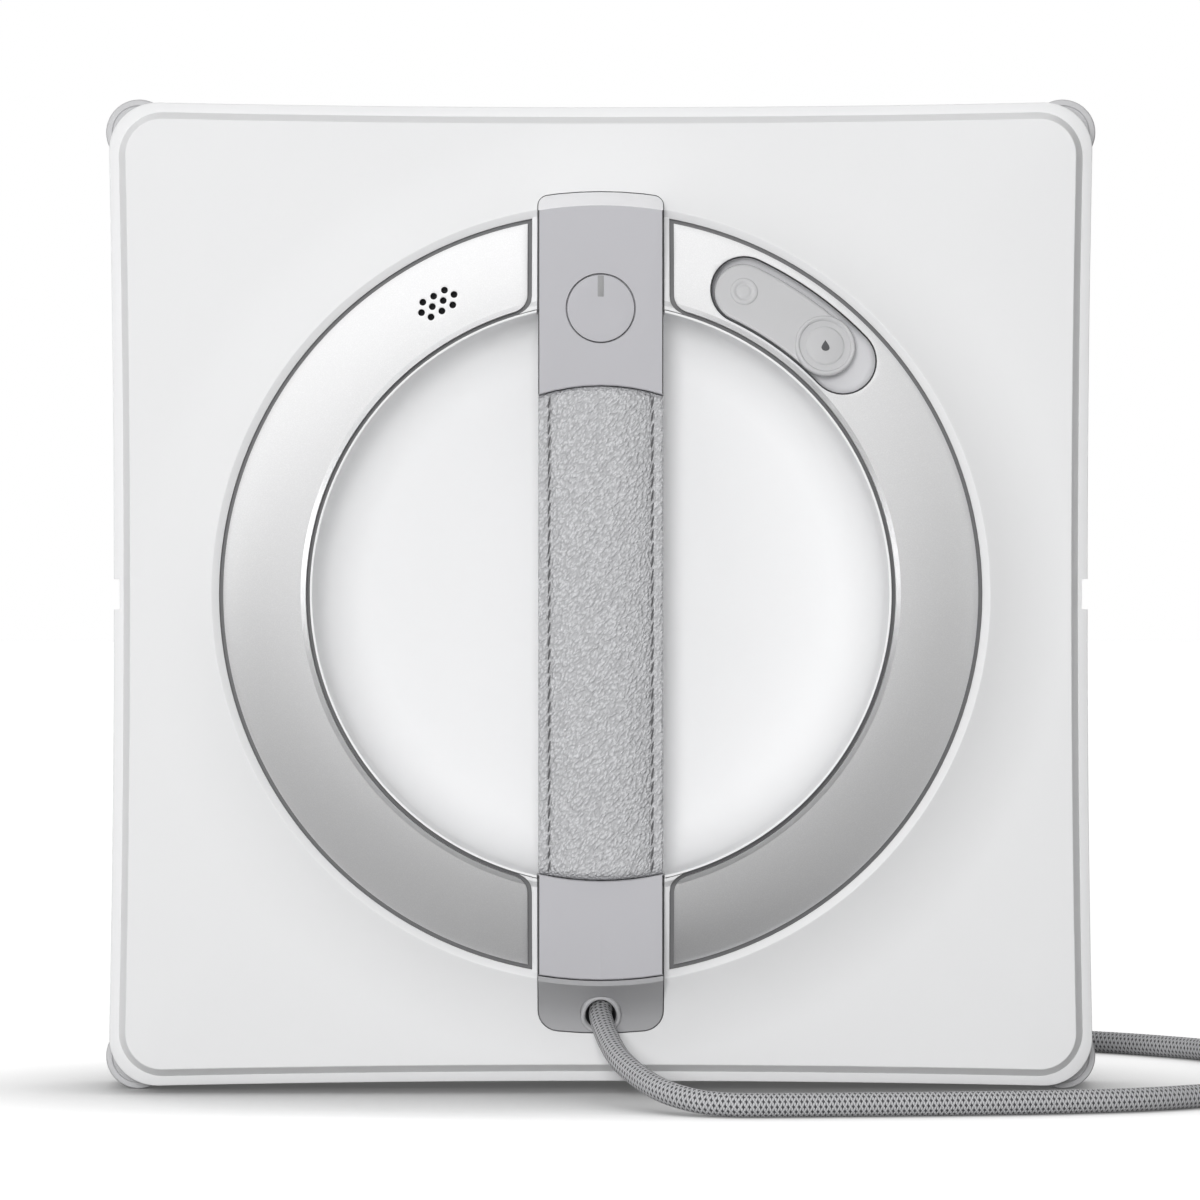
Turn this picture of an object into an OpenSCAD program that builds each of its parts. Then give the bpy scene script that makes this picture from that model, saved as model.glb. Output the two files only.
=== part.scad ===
// Window-cleaning robot that stands on its edge: a square body with corner rollers, a carrying handle
// across a round hand bowl, two drive tracks and a suction fan behind, and a tether cord.
// Pieces are drawn lying on the glass (x right, y up the face, z out of the glass) and stood up by stand().

/* [Body] */
// Side of the outer frame across its corners
frame_w = 266; // [262:1:320]
// How far each side of the frame is drawn in at its middle
bow = 1.3; // [0:0.1:1.6]
// Radius of the frame's corners
frame_r = 13; // [12:0.5:15]
// Thickness of the frame's side wall
frame_wall = 3; // [2.5:0.5:4]
// Height of the frame's front ledge above the glass
ledge_z = 46; // [44:1:56]
// Height of the flat face above the front ledge
face_rise = 6; // [4:0.5:8]
// Width of the sloped wall between the ledge and the face
slope_w = 2.3; // [1.5:0.1:3]
// Width of the ledge that shows outside the cover
ledge_w = 2.7; // [2:0.1:4]
// Thickness of the cover's shell
shell = 2.4; // [2:0.1:3]

/* [Ring and bowl] */
// Radius of the ring's crest
crest_r = 104.4; // [103:0.2:108]
// Height of the crest above the flat face
crest_rise = 6; // [4:0.5:8]
// Radius where the cove runs out into the face
cove_r = 126; // [118:1:126]
// Radius of the bowl's outer wall
bowl_r = 77.7; // [64:0.1:78]
// Depth of the bowl from its rim to its floor
bowl_depth = 29; // [24:1:31]
// Thickness of the bowl's wall
bowl_wall = 1.5; // [1.2:0.1:2]
// Height of the bowl's rim above the crest
rim_rise = 7; // [5:0.5:9]
// Width of the dark groove on each side of the trims
groove = 1; // [0.6:0.1:1.2]
// Width of the inner bevel of the trims
bevel_w = 1.5; // [1:0.1:2]
// Gap between the handle's side and the end of each trim
trim_end_gap = 2.95; // [2:0.05:4]

/* [Handle] */
// Width of the handle
handle_w = 33.3; // [27:0.1:40]
// Height of the handle's caps above the bowl's rim
cap_rise = 2; // [1.5:0.5:4]
// Height of the leather's crown above the caps
grip_crown = 3; // [2:0.5:4]
// Thickness of the leather at each side of the bar inside the handle
grip_side = 2.65; // [2:0.05:4]
// Thickness of the bar inside the handle
core_t = 8.5; // [7:0.5:9]
// Radius of the power button
button_r = 9; // [7:0.5:10]
// Travel of the power button
button_travel = 0.8; // [0.4:0.1:0.8]

/* [Rollers and pad] */
// Radius of the corner rollers
roller_r = 9; // [8:0.5:10]
// Length of the corner rollers
roller_h = 24; // [16:1:26]
// How far the rollers stand out beyond the frame
roller_proud = 2; // [1.5:0.5:3]
// Thickness of the cleaning pad
pad_t = 4; // [3:0.5:5]
// Thickness of the base plate
base_t = 4; // [3:0.5:5]

/* [Drive] */
// Distance of each track's middle from the centre line
track_x = 75; // [73:0.5:76]
// Distance of each wheel's axle from the middle of the track
wheel_y = 60; // [56:1:62]
// Radius of the track wheels
wheel_r = 12; // [10:0.5:14]
// Thickness of the track belt
belt_t = 1.3; // [1:0.1:1.6]
// Width of the track belt
belt_w = 18; // [14:0.5:19]
// Tooth size of the drive gears
gear_m = 0.8; // [0.7:0.05:0.9]
// Teeth on the gear
gear_teeth = 24; // [20:1:26]
// Teeth on the pinion
pinion_teeth = 10; // [9:1:12]
// Radius of the fan's impeller
impeller_r = 36; // [28:1:38]

/* [Cord] */
// Diameter of the tether cord
cord_d = 6.2; // [5:0.1:6.4]
// Turns of the coil in each of its layers
coil_turns = 4; // [2:1:5]
// Outer radius of the coil, at the middle of the cord
coil_r = 53.5; // [50:0.5:60]
// Gap between neighbouring turns
turn_gap = 0.55; // [0.5:0.05:0.8]

/* [Fits] */
// Gap between pieces that are pushed together
fit_gap = 0.1; // [0.05:0.05:0.2]
// Gap between a moving piece and its neighbours
move_gap = 0.4; // [0.3:0.1:0.5]
// Radial clearance of a shaft in its bore
shaft_gap = 0.06; // [0.03:0.01:0.1]

/* [Hidden] */
$fn = 96;
eps = 0.01;
hook_t = 1;
base_z = pad_t + hook_t;
base_top = base_z + base_t;
frame_h = frame_w / 2;
roller_c = frame_h + roller_proud - roller_r;
stand_h = frame_h + roller_proud;
base_inset = 2;
pocket_r = roller_r + 0.6;
pocket_wall = 2.4;
roof_z = base_top + roller_h + 2 * move_gap;
roof_t = 3;
roller_pin_r = 2.5;
flange_t = 4;
flange_w = 8;
face_z = ledge_z + face_rise;
cover_h = frame_h - ledge_w;
cover_r = 10.5;
face_h = cover_h - slope_w;
under_z = face_z - shell;
crest_z = face_z + crest_rise;
rim_z = crest_z + rim_rise;
floor_z = rim_z - bowl_depth;
bowl_floor_t = 2;
bowl_under_z = floor_z - bowl_floor_t;
lip_w = 2;
lip_drop = 1.6;
lip_r = crest_r - lip_w;
trim_out_r = lip_r - groove - 0.1;
trim_top_r = bowl_r + groove;
trim_in_r = trim_top_r + bevel_w;
bevel_drop = 2.2;
trim_top_z = rim_z - 0.2;
trim_end_x = handle_w / 2 + trim_end_gap;
core_w = handle_w - 2 * grip_side;
trim_in_z = trim_top_z - bevel_drop;
trim_slope_in = 8;
trim_slope_out = 23;
trim_edge_t = 2.4;
trim_in_t = 3.4;
trim_gap_end = 1.2;
ring_hole_r = bowl_r + fit_gap;
land_x = trim_end_x - trim_gap_end;
cap_z = rim_z + cap_rise;
depth = cap_z + grip_crown;
cap_t = 2.5;
core_top = cap_z - cap_t;
core_z = core_top - core_t;
core_len = 100;
cap_in_r = 55.6;
cap_flat_r = 103.5;
cap_out_r = 107.8;
grip_inset = 1.2;
grip_low_r = bowl_r - grip_inset;
low_cap_r = 102.8;
outlet_in_r = 103.1;
outlet_out_r = 117.9;
outlet_end_rise = 0.5;
outlet_curve = 2.2;
sleeve_t = 1.5;
sleeve_z = core_z - sleeve_t;
button_y = 76.1;
button_flange = 0.8;
switch_depth = 4;
switch_board_t = 1.5;
speaker_r = 10;
speaker_h = 8;
speaker_pos = [89.1, 119.3];
grille_hole_r = 0.93;
grille_pitch = 3.32;
grille_row = 2.3;
grille_tilt = 29.1;
filler_r = 89.2;
filler_half = 9.3;
filler_wall = 0.6;
slot_sides = 8;
slot_end_sides = 14;
filler_a0 = 64.65;
filler_a1 = 44;
plug_a = 47.9;
hinge_a = 58.7;
stopper_half = 8.8;
stopper_drop = 0.8;
stopper_t = 2.5;
hinge_gap = 0.3;
tray_depth = 6.8;
tray_t = 1.5;
neck_in_r = 4.5;
neck_wall = 1.3;
neck_reach = 3;
tank_wall = 1.6;
tank_z = 30.5;
tank_gap = 0.6;
tank_far = 112;
tank_near = 26;
tank_cut = 196;
tank_in_r = bowl_r + 5;
spray_z = 26;
notch_h = 8.2;
notch_d = 1.6;
nozzle_r = 3;
nozzle_x = 119;
nozzle_flange = [1.2, 6];
jet_r = 0.8;
hose_r = 1.8;
hose_z = 18;
pump_at = [92, -42];
pump = [24, 30, 16];
pump_head = [9, 5];
suction_x = 100;
outlet_x = 111;
far_hose_x = 104;
tank_hose_z = 34;
fan_r = impeller_r + 6;
fan_wall = 2;
intake_r = 24;
grille_lip = 2;
grille_t = 1.8;
slot_pitch = 5;
slot_w = 3;
motor_shaft_r = 1.5;
fan_motor_r = 14;
fan_top = bowl_under_z - 0.5;
fan_motor_z = 23.5;
axle_r = 2.5;
track_r = wheel_r + 0.3 + belt_t;
axle_z = track_r;
bay_half = belt_w / 2 + 2;
bay_wall = 2;
bay_len = wheel_y + track_r + 3;
bay_top = axle_z + 8;
wheel_w = belt_w - 2;
gear_w = 5;
gear_pa = 25;
gear_add = 0.7;
gear_ded = 1;
gear_backlash = 0.2;
gear_c = gear_m * (gear_teeth + pinion_teeth) / 2;
pinion_y = -wheel_y - gear_c * sin(45);
pinion_z = axle_z + gear_c * sin(45);
gear_x = track_x - bay_half - bay_wall - 3 - gear_w;
box_x0 = gear_x - 3.5;
box_x1 = track_x - bay_half - bay_wall - 0.3;
box_t = 1.5;
motor_r = 9;
motor_len = 30;
motor_shaft = 1;
gear_tip_r = gear_m * (gear_teeth / 2 + gear_add);
box_y0 = pinion_y - motor_r - 1;
box_y1 = -wheel_y + gear_tip_r + 1 + box_t;
box_top = pinion_z + motor_r;
post_r = 4;
post_at = [[52, 36], [-52, 36], [52, -36], [-52, -36]];
tank_posts = [[70, 104], [104, 70], [96, 92]];
tank_post_r = 3;
standoff_r = 2.5;
standoff_at = [44, 12];
screw_at = [for (s = [-1, 1], t = [-1, 1]) each [[s * 118, t * 60], [s * 60, t * 118]]];
screw_r = 1.45;
screw_head_r = 2.8;
screw_len = 15;
boss_r = 4;
boss_h = 21;
sensor_c = 113.5;
sensor_r = 3.6;
pad_h = 122;
pad_r = 40;
pad_open = [178, 160];
battery = [96, 34, 18];
battery_y = 101;
board = [104, 33, 1.6];
board_y = -102;
board_z = 13;
grommet_y = -112.9;
grommet_lift = 0.38;
grommet_tilt = 30;
grommet_r = 5.45;
grommet_hole_r = 4;
grommet_rim = 1.2;
grommet_len = 9;
cord_depth = 5;

// Route of the free stretch of cord, standing frame: out of the grommet, down to the floor in front,
// round the right side and back behind the body to the coil
cord_route = [[0, -15.9, 24.6], [0, -18.5, 23.1], [0, -21.1, 21.6], [1.6, -30, 17.2], [5, -43, 12.2],
    [10.6, -55, 8.2], [17, -65, 5.5], [25, -72, 3.8], [33, -75, 3.2], [42, -75.5, 3.1], [67, -73.5, 3.1],
    [100, -70, 3.1], [124, -65.5, 3.1], [141, -60, 3.1], [157, -50.5, 3.1], [171, -38, 3.1], [183, -20, 3.1],
    [190, 0, 3.1], [193, 22, 3.1], [192, 44, 3.1], [187, 66, 3.1], [176, 88, 3.1], [163, 103, 3.1],
    [147, 116.5, 3.1], [120, 133, 3.1], [90, 146, 3.3], [60, 155.5, 3.8], [38, 159.2, 4.2], [26, 159.5, 4.2],
    [21, 159.5, 4.2], [16.2, 159.5, 4.2]];
// Route of the short end of cord from the top of the coil down to its connector
tail_route = [[16.2, 52.5, 24.45], [19, 52.5, 24.45], [22, 52.5, 24.45], [30, 52.5, 22.6], [40, 52.5, 17],
    [50, 52.5, 10.8], [59, 52.5, 7.2], [67, 52.5, 6], [71, 52.5, 6], [75, 52.5, 6]];
coil_c = [10, 106];
coil_z = 4.2;
turn_step = cord_d + turn_gap;
coil_rings = 24;
tie_w = 8;
tie_t = 1;
connector_r = 6;
connector_len = 38;
connector_at = [75, 52.5, 6];

// Placing
module stand() translate([0, depth / 2, stand_h]) rotate([90, 0, 0]) children();
module sides() for (s = [-1, 1]) scale_side(s) children();
module scale_side(s) if (s > 0) children(); else mirror([1, 0, 0]) children();
module at_corners(c) for (s = [-1, 1], t = [-1, 1]) translate([s * c, t * c, 0]) children();
module along_x(x0, len) translate([x0, 0, 0]) rotate([90, 0, 90]) linear_extrude(len) children();
module in_angle(r, a) rotate(a) translate([r, 0, 0]) children();

// Outline of a square with drawn-in sides and round corners
function side_points(h, r, b) = let (s = h - r)
    [for (i = [0:10]) let (y = s * (i / 5 - 1)) [h - b * (1 - pow(y / s, 2)), y]];
function corner_points(h, r) = let (s = h - r)
    [for (i = [1:7]) let (a = 90 * i / 8) [s + r * cos(a), s + r * sin(a)]];
function bowed_square(h, r, b) = [for (q = [0:3]) let (c = cos(90 * q), s = sin(90 * q))
    each [for (p = concat(side_points(h, r, b), corner_points(h, r)))
        [p[0] * c - p[1] * s, p[0] * s + p[1] * c]]];
module plate(h, r, t) linear_extrude(t) polygon(bowed_square(h, r, bow));
module round_rect(w, l, r) {
    square([w - 2 * r, l], center = true);
    square([w, l - 2 * r], center = true);
    for (s = [-1, 1], t = [-1, 1]) translate([s * (w / 2 - r), t * (l / 2 - r)]) circle(r);
}

// Surface of the ring: cove, crest, lip, trim and bevel, in radius and height
cove_run = cove_r - crest_r;
cove_arc = (cove_run * cove_run + crest_rise * crest_rise) / (2 * crest_rise);
cove_angle = asin(cove_run / cove_arc);
function cove_point(t) = [cove_r - cove_arc * sin(t), face_z + cove_arc * (1 - cos(t))];
function cove_height(r) = cove_point(asin((cove_r - r) / cove_arc))[1];
function trim_height(r) = let (w = trim_out_r - trim_in_r, u = (r - trim_in_r) / w)
    trim_in_z - w * (tan(trim_slope_in) * u + (tan(trim_slope_out) - tan(trim_slope_in)) * u * u / 2);
cove_points = [for (i = [0:8]) cove_point(cove_angle * i / 8)];
trim_points = [for (i = [0:6]) let (r = trim_out_r + (trim_in_r - trim_out_r) * i / 6) [r, trim_height(r)]];
channel_out = [lip_r, trim_height(trim_out_r) - trim_edge_t];
channel_in = [ring_hole_r, trim_top_z - trim_in_t];
function channel_height(r) = channel_in[1]
    + (channel_out[1] - channel_in[1]) * (r - channel_in[0]) / (channel_out[0] - channel_in[0]);
ring_top = concat(cove_points, [[lip_r, crest_z - lip_drop]], trim_points,
    [[trim_top_r, trim_top_z], [ring_hole_r, trim_top_z]]);
tray_floor_z = trim_height(filler_r) - tray_depth;
tank_top = min(under_z, channel_out[1] - shell) - tank_gap;
neck_low = tank_top - neck_reach;
speaker_front_r = speaker_r - 3;
speaker_top = channel_height(speaker_pos[0] + speaker_front_r) - shell - move_gap;
// Solid under the ring's surface, moved up by lift
module ring_mass(lift, inner_r) rotate_extrude()
    polygon(concat([[cove_r + 20, 0], [cove_r + 20, face_z + lift]], [for (p = ring_top) p + [0, lift]],
        [[inner_r, trim_top_z + lift], [inner_r, 0]]));

// Body shells
module base_plate() color("gainsboro") stand() difference() {
    union() {
        translate([0, 0, base_z]) plate(frame_h - base_inset, frame_r - base_inset / 2, base_t);
        for (p = post_at) translate([p[0], p[1], base_z]) cylinder(r = post_r, h = bowl_under_z - base_z);
        for (p = tank_posts) translate([p[0], p[1], base_z]) cylinder(r = tank_post_r, h = tank_z - base_z);
        for (s = [-1, 1], t = [-1, 1]) translate([s * standoff_at[0], board_y + t * standoff_at[1], base_z])
            cylinder(r = standoff_r, h = board_z - base_z);
        sides() for (x = [track_x - bay_half - bay_wall, track_x + bay_half])
            translate([x, -bay_len, base_z]) cube([bay_wall, 2 * bay_len, bay_top - base_z]);
    }
    sides() translate([track_x - bay_half, bay_wall - bay_len, 0])
        cube([2 * bay_half, 2 * (bay_len - bay_wall), bay_top + 1]);
    sides() translate([gear_x - 1, -wheel_y - gear_c, 0]) cube([gear_w + 2, 2 * gear_c, base_top + 1]);
    sides() for (s = [-1, 1]) translate([track_x, s * wheel_y, axle_z]) rotate([0, 90, 0])
        cylinder(r = axle_r + shaft_gap, h = 60, center = true);
    cylinder(r = intake_r, h = base_top + 1);
    cylinder(r = intake_r + grille_lip, h = base_z + grille_t + 0.2);
    for (p = screw_at) translate(p) {
        cylinder(r = screw_r + fit_gap, h = base_top + 1);
        cylinder(r = screw_head_r + fit_gap, h = base_z + 2);
    }
    at_corners(sensor_c) cylinder(r = sensor_r + fit_gap, h = base_top + 1);
}

module outer_frame() color("white") stand() difference() {
    union() {
        difference() {
            translate([0, 0, base_top]) plate(frame_h, frame_r, ledge_z - base_top);
            translate([0, 0, base_top - 1]) plate(frame_h - frame_wall, frame_r - frame_wall, ledge_z);
        }
        difference() {
            translate([0, 0, ledge_z - flange_t]) plate(frame_h, frame_r, flange_t);
            plate(frame_h - flange_w, frame_r - frame_wall, ledge_z + 1);
        }
        intersection() {
            translate([0, 0, base_top]) plate(frame_h, frame_r, roof_z + roof_t - base_top);
            at_corners(roller_c) cylinder(r = pocket_r + pocket_wall, h = ledge_z);
        }
        for (p = screw_at) frame_boss(p);
    }
    at_corners(roller_c) translate([0, 0, base_top - 1]) cylinder(r = pocket_r, h = roof_z - base_top + 1);
    for (p = screw_at) translate([p[0], p[1], base_top - 1]) cylinder(r = screw_r + fit_gap, h = screw_len);
    sides() translate([frame_h - bow - notch_d, -notch_h / 2, 0]) cube([10, notch_h, ledge_z + 1]);
    sides() translate([frame_h - 15, 0, spray_z]) rotate([0, 90, 0]) cylinder(r = nozzle_r + fit_gap, h = 20);
}
module frame_boss(p) {
    along = abs(p[0]) > abs(p[1]) ? [1, 0] : [0, 1];
    reach = frame_h - bow - 1 - max(abs(p[0]), abs(p[1]));
    out = [along[0] * sign(p[0]), along[1] * sign(p[1])] * reach / 2;
    translate([p[0], p[1], base_top]) cylinder(r = boss_r, h = boss_h);
    translate([p[0] + out[0], p[1] + out[1], base_top + boss_h / 2])
        cube([along[0] * reach + along[1] * 2, along[1] * reach + along[0] * 2, boss_h], center = true);
}

module top_cover() color("white") stand() difference() {
    union() {
        difference() {
            translate([0, 0, ledge_z]) linear_extrude(face_rise, scale = face_h / cover_h)
                polygon(bowed_square(cover_h, cover_r, bow));
            translate([0, 0, ledge_z - 1])
                plate(cover_h - slope_w - shell, cover_r - slope_w, under_z - ledge_z + 1);
            cylinder(r = cove_r - 1, h = 2 * face_z);
        }
        rotate_extrude() polygon(concat([[cove_r, under_z]], ring_top,
            [channel_in - [0, shell], channel_out + [0.6, -shell], [crest_r + 1.6, under_z]]));
    }
    difference() {
        rotate_extrude() polygon([channel_out, channel_in, [ring_hole_r, depth], [lip_r, depth]]);
        translate([-land_x, -2 * crest_r, 0]) cube([2 * land_x, 4 * crest_r, depth]);
    }
    intersection() {
        core_space(core_z - fit_gap, depth);
        difference() {
            cylinder(r = 2 * crest_r, h = depth);
            cylinder(r = bowl_r - 1, h = depth);
        }
    }
    in_angle(speaker_pos[0], speaker_pos[1]) cylinder(r = speaker_front_r, h = depth);
    linear_extrude(depth) filler_slot(filler_half + filler_wall + fit_gap, filler_a0, filler_a1);
    grommet_frame() cylinder(r = grommet_r + fit_gap, h = 60, center = true);
}

module hand_bowl() color("white") stand() difference() {
    rotate_extrude() polygon([[0, bowl_under_z], [bowl_r, bowl_under_z], [bowl_r, rim_z - 0.5],
        [bowl_r - 0.5, rim_z], [bowl_r - bowl_wall + 0.5, rim_z], [bowl_r - bowl_wall, rim_z - 0.5],
        [bowl_r - bowl_wall - 0.4, floor_z + 3], [bowl_r - bowl_wall - 1.3, floor_z + 0.9],
        [bowl_r - bowl_wall - 3.4, floor_z], [0, floor_z]]);
    for (s = [-1, 1]) translate([0, s * bowl_r, sleeve_z - move_gap + depth / 2])
        cube([handle_w + 2 * move_gap, 16, depth], center = true);
}

// Silver trims
module trim_ring() rotate_extrude() polygon(concat(trim_points, [[trim_top_r, trim_top_z]],
    [for (r = [trim_top_r, trim_out_r]) [r, channel_height(r) + fit_gap / 2]]));
module trim_half(s) intersection() {
    trim_ring();
    translate([s > 0 ? trim_end_x : -2 * crest_r - trim_end_x, -crest_r, 0])
        cube([2 * crest_r, 2 * crest_r, depth]);
}
module trim_left() color("silver") stand() difference() {
    trim_half(-1);
    in_angle(speaker_pos[0], speaker_pos[1]) rotate(grille_tilt - speaker_pos[1])
        for (row = [-1:1], i = [0:(row == 0 ? 3 : 2)])
            translate([(i - (row == 0 ? 1.5 : 1)) * grille_pitch, row * grille_row, 0])
                cylinder(r = grille_hole_r, h = depth, $fn = 24);
}
module trim_right() color("silver") stand() difference() {
    trim_half(1);
    linear_extrude(depth) filler_slot(filler_half + filler_wall + fit_gap, filler_a0, filler_a1);
}

// Handle
module handle_outline(r0, r1) difference() {
    intersection() {
        circle(r1);
        translate([-handle_w / 2, 0]) square([handle_w, r1]);
    }
    circle(r0);
}
// Room for the bar inside the handle between two heights
module core_space(low, high) translate([-core_w / 2 - fit_gap, -core_len - fit_gap, low])
    cube([core_w + 2 * fit_gap, 2 * (core_len + fit_gap), high - low]);
module handle_core() color("dimgray") stand() difference() {
    translate([0, 0, core_z + core_t / 2]) cube([core_w, 2 * core_len, core_t], center = true);
    translate([0, button_y, core_top - switch_depth]) cylinder(r = button_r + 1.2, h = switch_depth + 1);
}
module handle_grip() color("darkgray") stand() difference() {
    intersection() {
        rotate([90, 0, 0]) linear_extrude(2 * crest_r, center = true) grip_section();
        linear_extrude(2 * depth) {
            handle_outline(0, cap_in_r - fit_gap);
            mirror([0, 1]) handle_outline(0, grip_low_r - fit_gap);
        }
    }
    translate([0, 0, core_z + core_t / 2])
        cube([core_w + 2 * fit_gap, 2 * core_len, core_t + 2 * fit_gap], center = true);
}
// Crowned section of the leather: flat below, round sides, a low arch on top, a sewn channel near each edge
grip_edge = 2.9;
grip_side_z = cap_z - 1;
grip_arc_points = [for (i = [0:10]) let (x = (handle_w / 2 - grip_edge) * (1 - i / 5))
    [x, grip_side_z + 0.6 + (depth - grip_side_z - 0.6) * (1 - pow(x / (handle_w / 2 - grip_edge), 2))]];
module grip_section() polygon(concat(
    [[-handle_w / 2 + 1.5, sleeve_z], [handle_w / 2 - 1.5, sleeve_z], [handle_w / 2, sleeve_z + 1.5],
        [handle_w / 2, grip_side_z - 1.5], [handle_w / 2 - 0.8, grip_side_z],
        [handle_w / 2 - 2, grip_side_z + 0.3], [handle_w / 2 - grip_edge + 0.4, grip_side_z]],
    grip_arc_points,
    [[-handle_w / 2 + grip_edge - 0.4, grip_side_z], [-handle_w / 2 + 2, grip_side_z + 0.3],
        [-handle_w / 2 + 0.8, grip_side_z], [-handle_w / 2, grip_side_z - 1.5],
        [-handle_w / 2, sleeve_z + 1.5]]));
module handle_side(points) rotate([90, 0, 90]) linear_extrude(handle_w, center = true) polygon(points);
module handle_top_cap() color("silver") stand() difference() {
    intersection() {
        handle_side([[0, sleeve_z], [0, cap_z], [cap_flat_r, cap_z],
            [cap_out_r, cove_height(cap_out_r) + 1], [cap_out_r, sleeve_z]]);
        linear_extrude(2 * depth) handle_outline(cap_in_r, cap_out_r);
    }
    core_space(0, core_top + fit_gap);
    ring_mass(fit_gap, ring_hole_r - 2);
    translate([0, button_y, core_top - 1]) cylinder(r = button_r + 0.3, h = 10);
}
module handle_bottom_cap() color("silver") stand() mirror([0, 1, 0]) difference() {
    intersection() {
        handle_side([[0, sleeve_z], [0, cap_z], [low_cap_r, cap_z], [low_cap_r, sleeve_z]]);
        linear_extrude(2 * depth) handle_outline(grip_low_r, low_cap_r);
    }
    core_space(0, core_top + fit_gap);
    ring_mass(fit_gap, ring_hole_r - 2);
}
outlet_end_z = cove_height(outlet_out_r) + outlet_end_rise;
function outlet_height(r) = outlet_end_z
    + (cap_z - outlet_end_z) * pow((outlet_out_r - r) / (outlet_out_r - crest_r), outlet_curve);
module cable_outlet_cover() color("gray") stand() difference() {
    mirror([0, 1, 0]) difference() {
        intersection() {
            handle_side(concat([[0, sleeve_z - 4], [0, cap_z], [crest_r, cap_z]],
                [for (i = [1:8]) let (r = crest_r + (outlet_out_r - crest_r) * i / 8) [r, outlet_height(r)]],
                [[outlet_out_r, sleeve_z - 4]]));
            linear_extrude(2 * depth) handle_outline(outlet_in_r, outlet_out_r);
        }
        ring_mass(fit_gap, ring_hole_r - 2);
    }
    grommet_frame() cylinder(r = grommet_r + fit_gap, h = 60, center = true);
}
grommet_z = outlet_height(-grommet_y) + grommet_lift;
module grommet_frame() translate([0, grommet_y, grommet_z]) rotate([grommet_tilt, 0, 0]) children();
module cable_grommet() color("darkgray") stand() grommet_frame() difference() {
    translate([0, 0, grommet_rim - grommet_len]) cylinder(r = grommet_r, h = grommet_len);
    translate([0, 0, -cord_depth]) cylinder(r = grommet_hole_r, h = grommet_len);
}
module switch_board() color("darkgreen") stand() translate([0, button_y, core_top - switch_depth]) {
    cylinder(r = button_r - 0.5, h = switch_board_t);
    translate([0, 0, switch_board_t]) cylinder(r = 2.5, h = 0.6);
}
module power_button() color("silver") stand() translate([0, button_y, core_top]) {
    translate([0, 0, -fit_gap - eps]) cylinder(r = button_r, h = cap_t + fit_gap);
    translate([0, 0, -fit_gap - button_flange]) cylinder(r = button_r + 0.8, h = button_flange);
    translate([0, 0, -fit_gap - button_flange - 0.1]) cylinder(r = 2.2, h = 0.2);
}
module speaker() color("dimgray") stand() in_angle(speaker_pos[0], speaker_pos[1])
    translate([0, 0, speaker_top - speaker_h]) {
        cylinder(r = speaker_r, h = speaker_h - 1);
        cylinder(r = speaker_front_r, h = speaker_h);
    }

// Water filler
function arc_points(c, r, a, b, n) = [for (i = [0:n]) let (t = a + (b - a) * i / n) c + r * [cos(t), sin(t)]];
module filler_slot(half, a0, a1) {
    step = 180 / slot_end_sides;
    polygon(concat(arc_points([0, 0], filler_r + half, a1, a0, slot_sides),
        arc_points(filler_r * [cos(a0), sin(a0)], half, a0 + step, a0 + 180 - step, slot_end_sides - 2),
        arc_points([0, 0], filler_r - half, a0, a1, slot_sides),
        arc_points(filler_r * [cos(a1), sin(a1)], half, a1 + 180 + step, a1 + 360 - step,
            slot_end_sides - 2)));
}
module under_trim(drop) rotate_extrude() polygon(concat([for (p = trim_points) p - [0, drop]],
    [[trim_top_r, trim_top_z - drop], [trim_top_r, 0], [trim_out_r, 0]]));
module filler_tray() color("darkgray") stand() {
    difference() {
        intersection() {
            translate([0, 0, tray_floor_z - tray_t]) linear_extrude(depth)
                filler_slot(filler_half + filler_wall, filler_a0, filler_a1);
            under_trim(0);
        }
        translate([0, 0, tray_floor_z]) linear_extrude(depth) filler_slot(filler_half, filler_a0, filler_a1);
        in_angle(filler_r, plug_a) cylinder(r = neck_in_r, h = depth);
    }
    in_angle(filler_r, plug_a) translate([0, 0, neck_low]) difference() {
        cylinder(r = neck_in_r + neck_wall, h = tray_floor_z - tray_t - neck_low + eps);
        translate([0, 0, -1]) cylinder(r = neck_in_r, h = depth);
    }
}
module stopper_sheet() difference() {
    intersection() {
        linear_extrude(depth) filler_slot(stopper_half, filler_a0, plug_a);
        under_trim(stopper_drop);
    }
    under_trim(stopper_drop + stopper_t);
}
module beyond_hinge(gap) rotate(hinge_a) translate([filler_r - 50, gap - 100, 0]) cube([100, 100, depth]);
module filler_stopper() color("lightgray") stand() {
    intersection() {
        stopper_sheet();
        beyond_hinge(-hinge_gap / 2);
    }
    in_angle(filler_r, plug_a) translate([0, 0, tray_floor_z - 2.5]) {
        cylinder(r1 = neck_in_r - 1.5, r2 = neck_in_r - 0.3, h = 3.5);
        translate([0, 0, 3.5]) cylinder(r = neck_in_r + 1, h = 3);
    }
}
module filler_strap() color("lightgray") stand() {
    difference() {
        stopper_sheet();
        beyond_hinge(hinge_gap / 2);
    }
    in_angle(filler_r, filler_a0) translate([0, 0, tray_floor_z]) cylinder(r = 3.5, h = 5);
}

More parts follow.
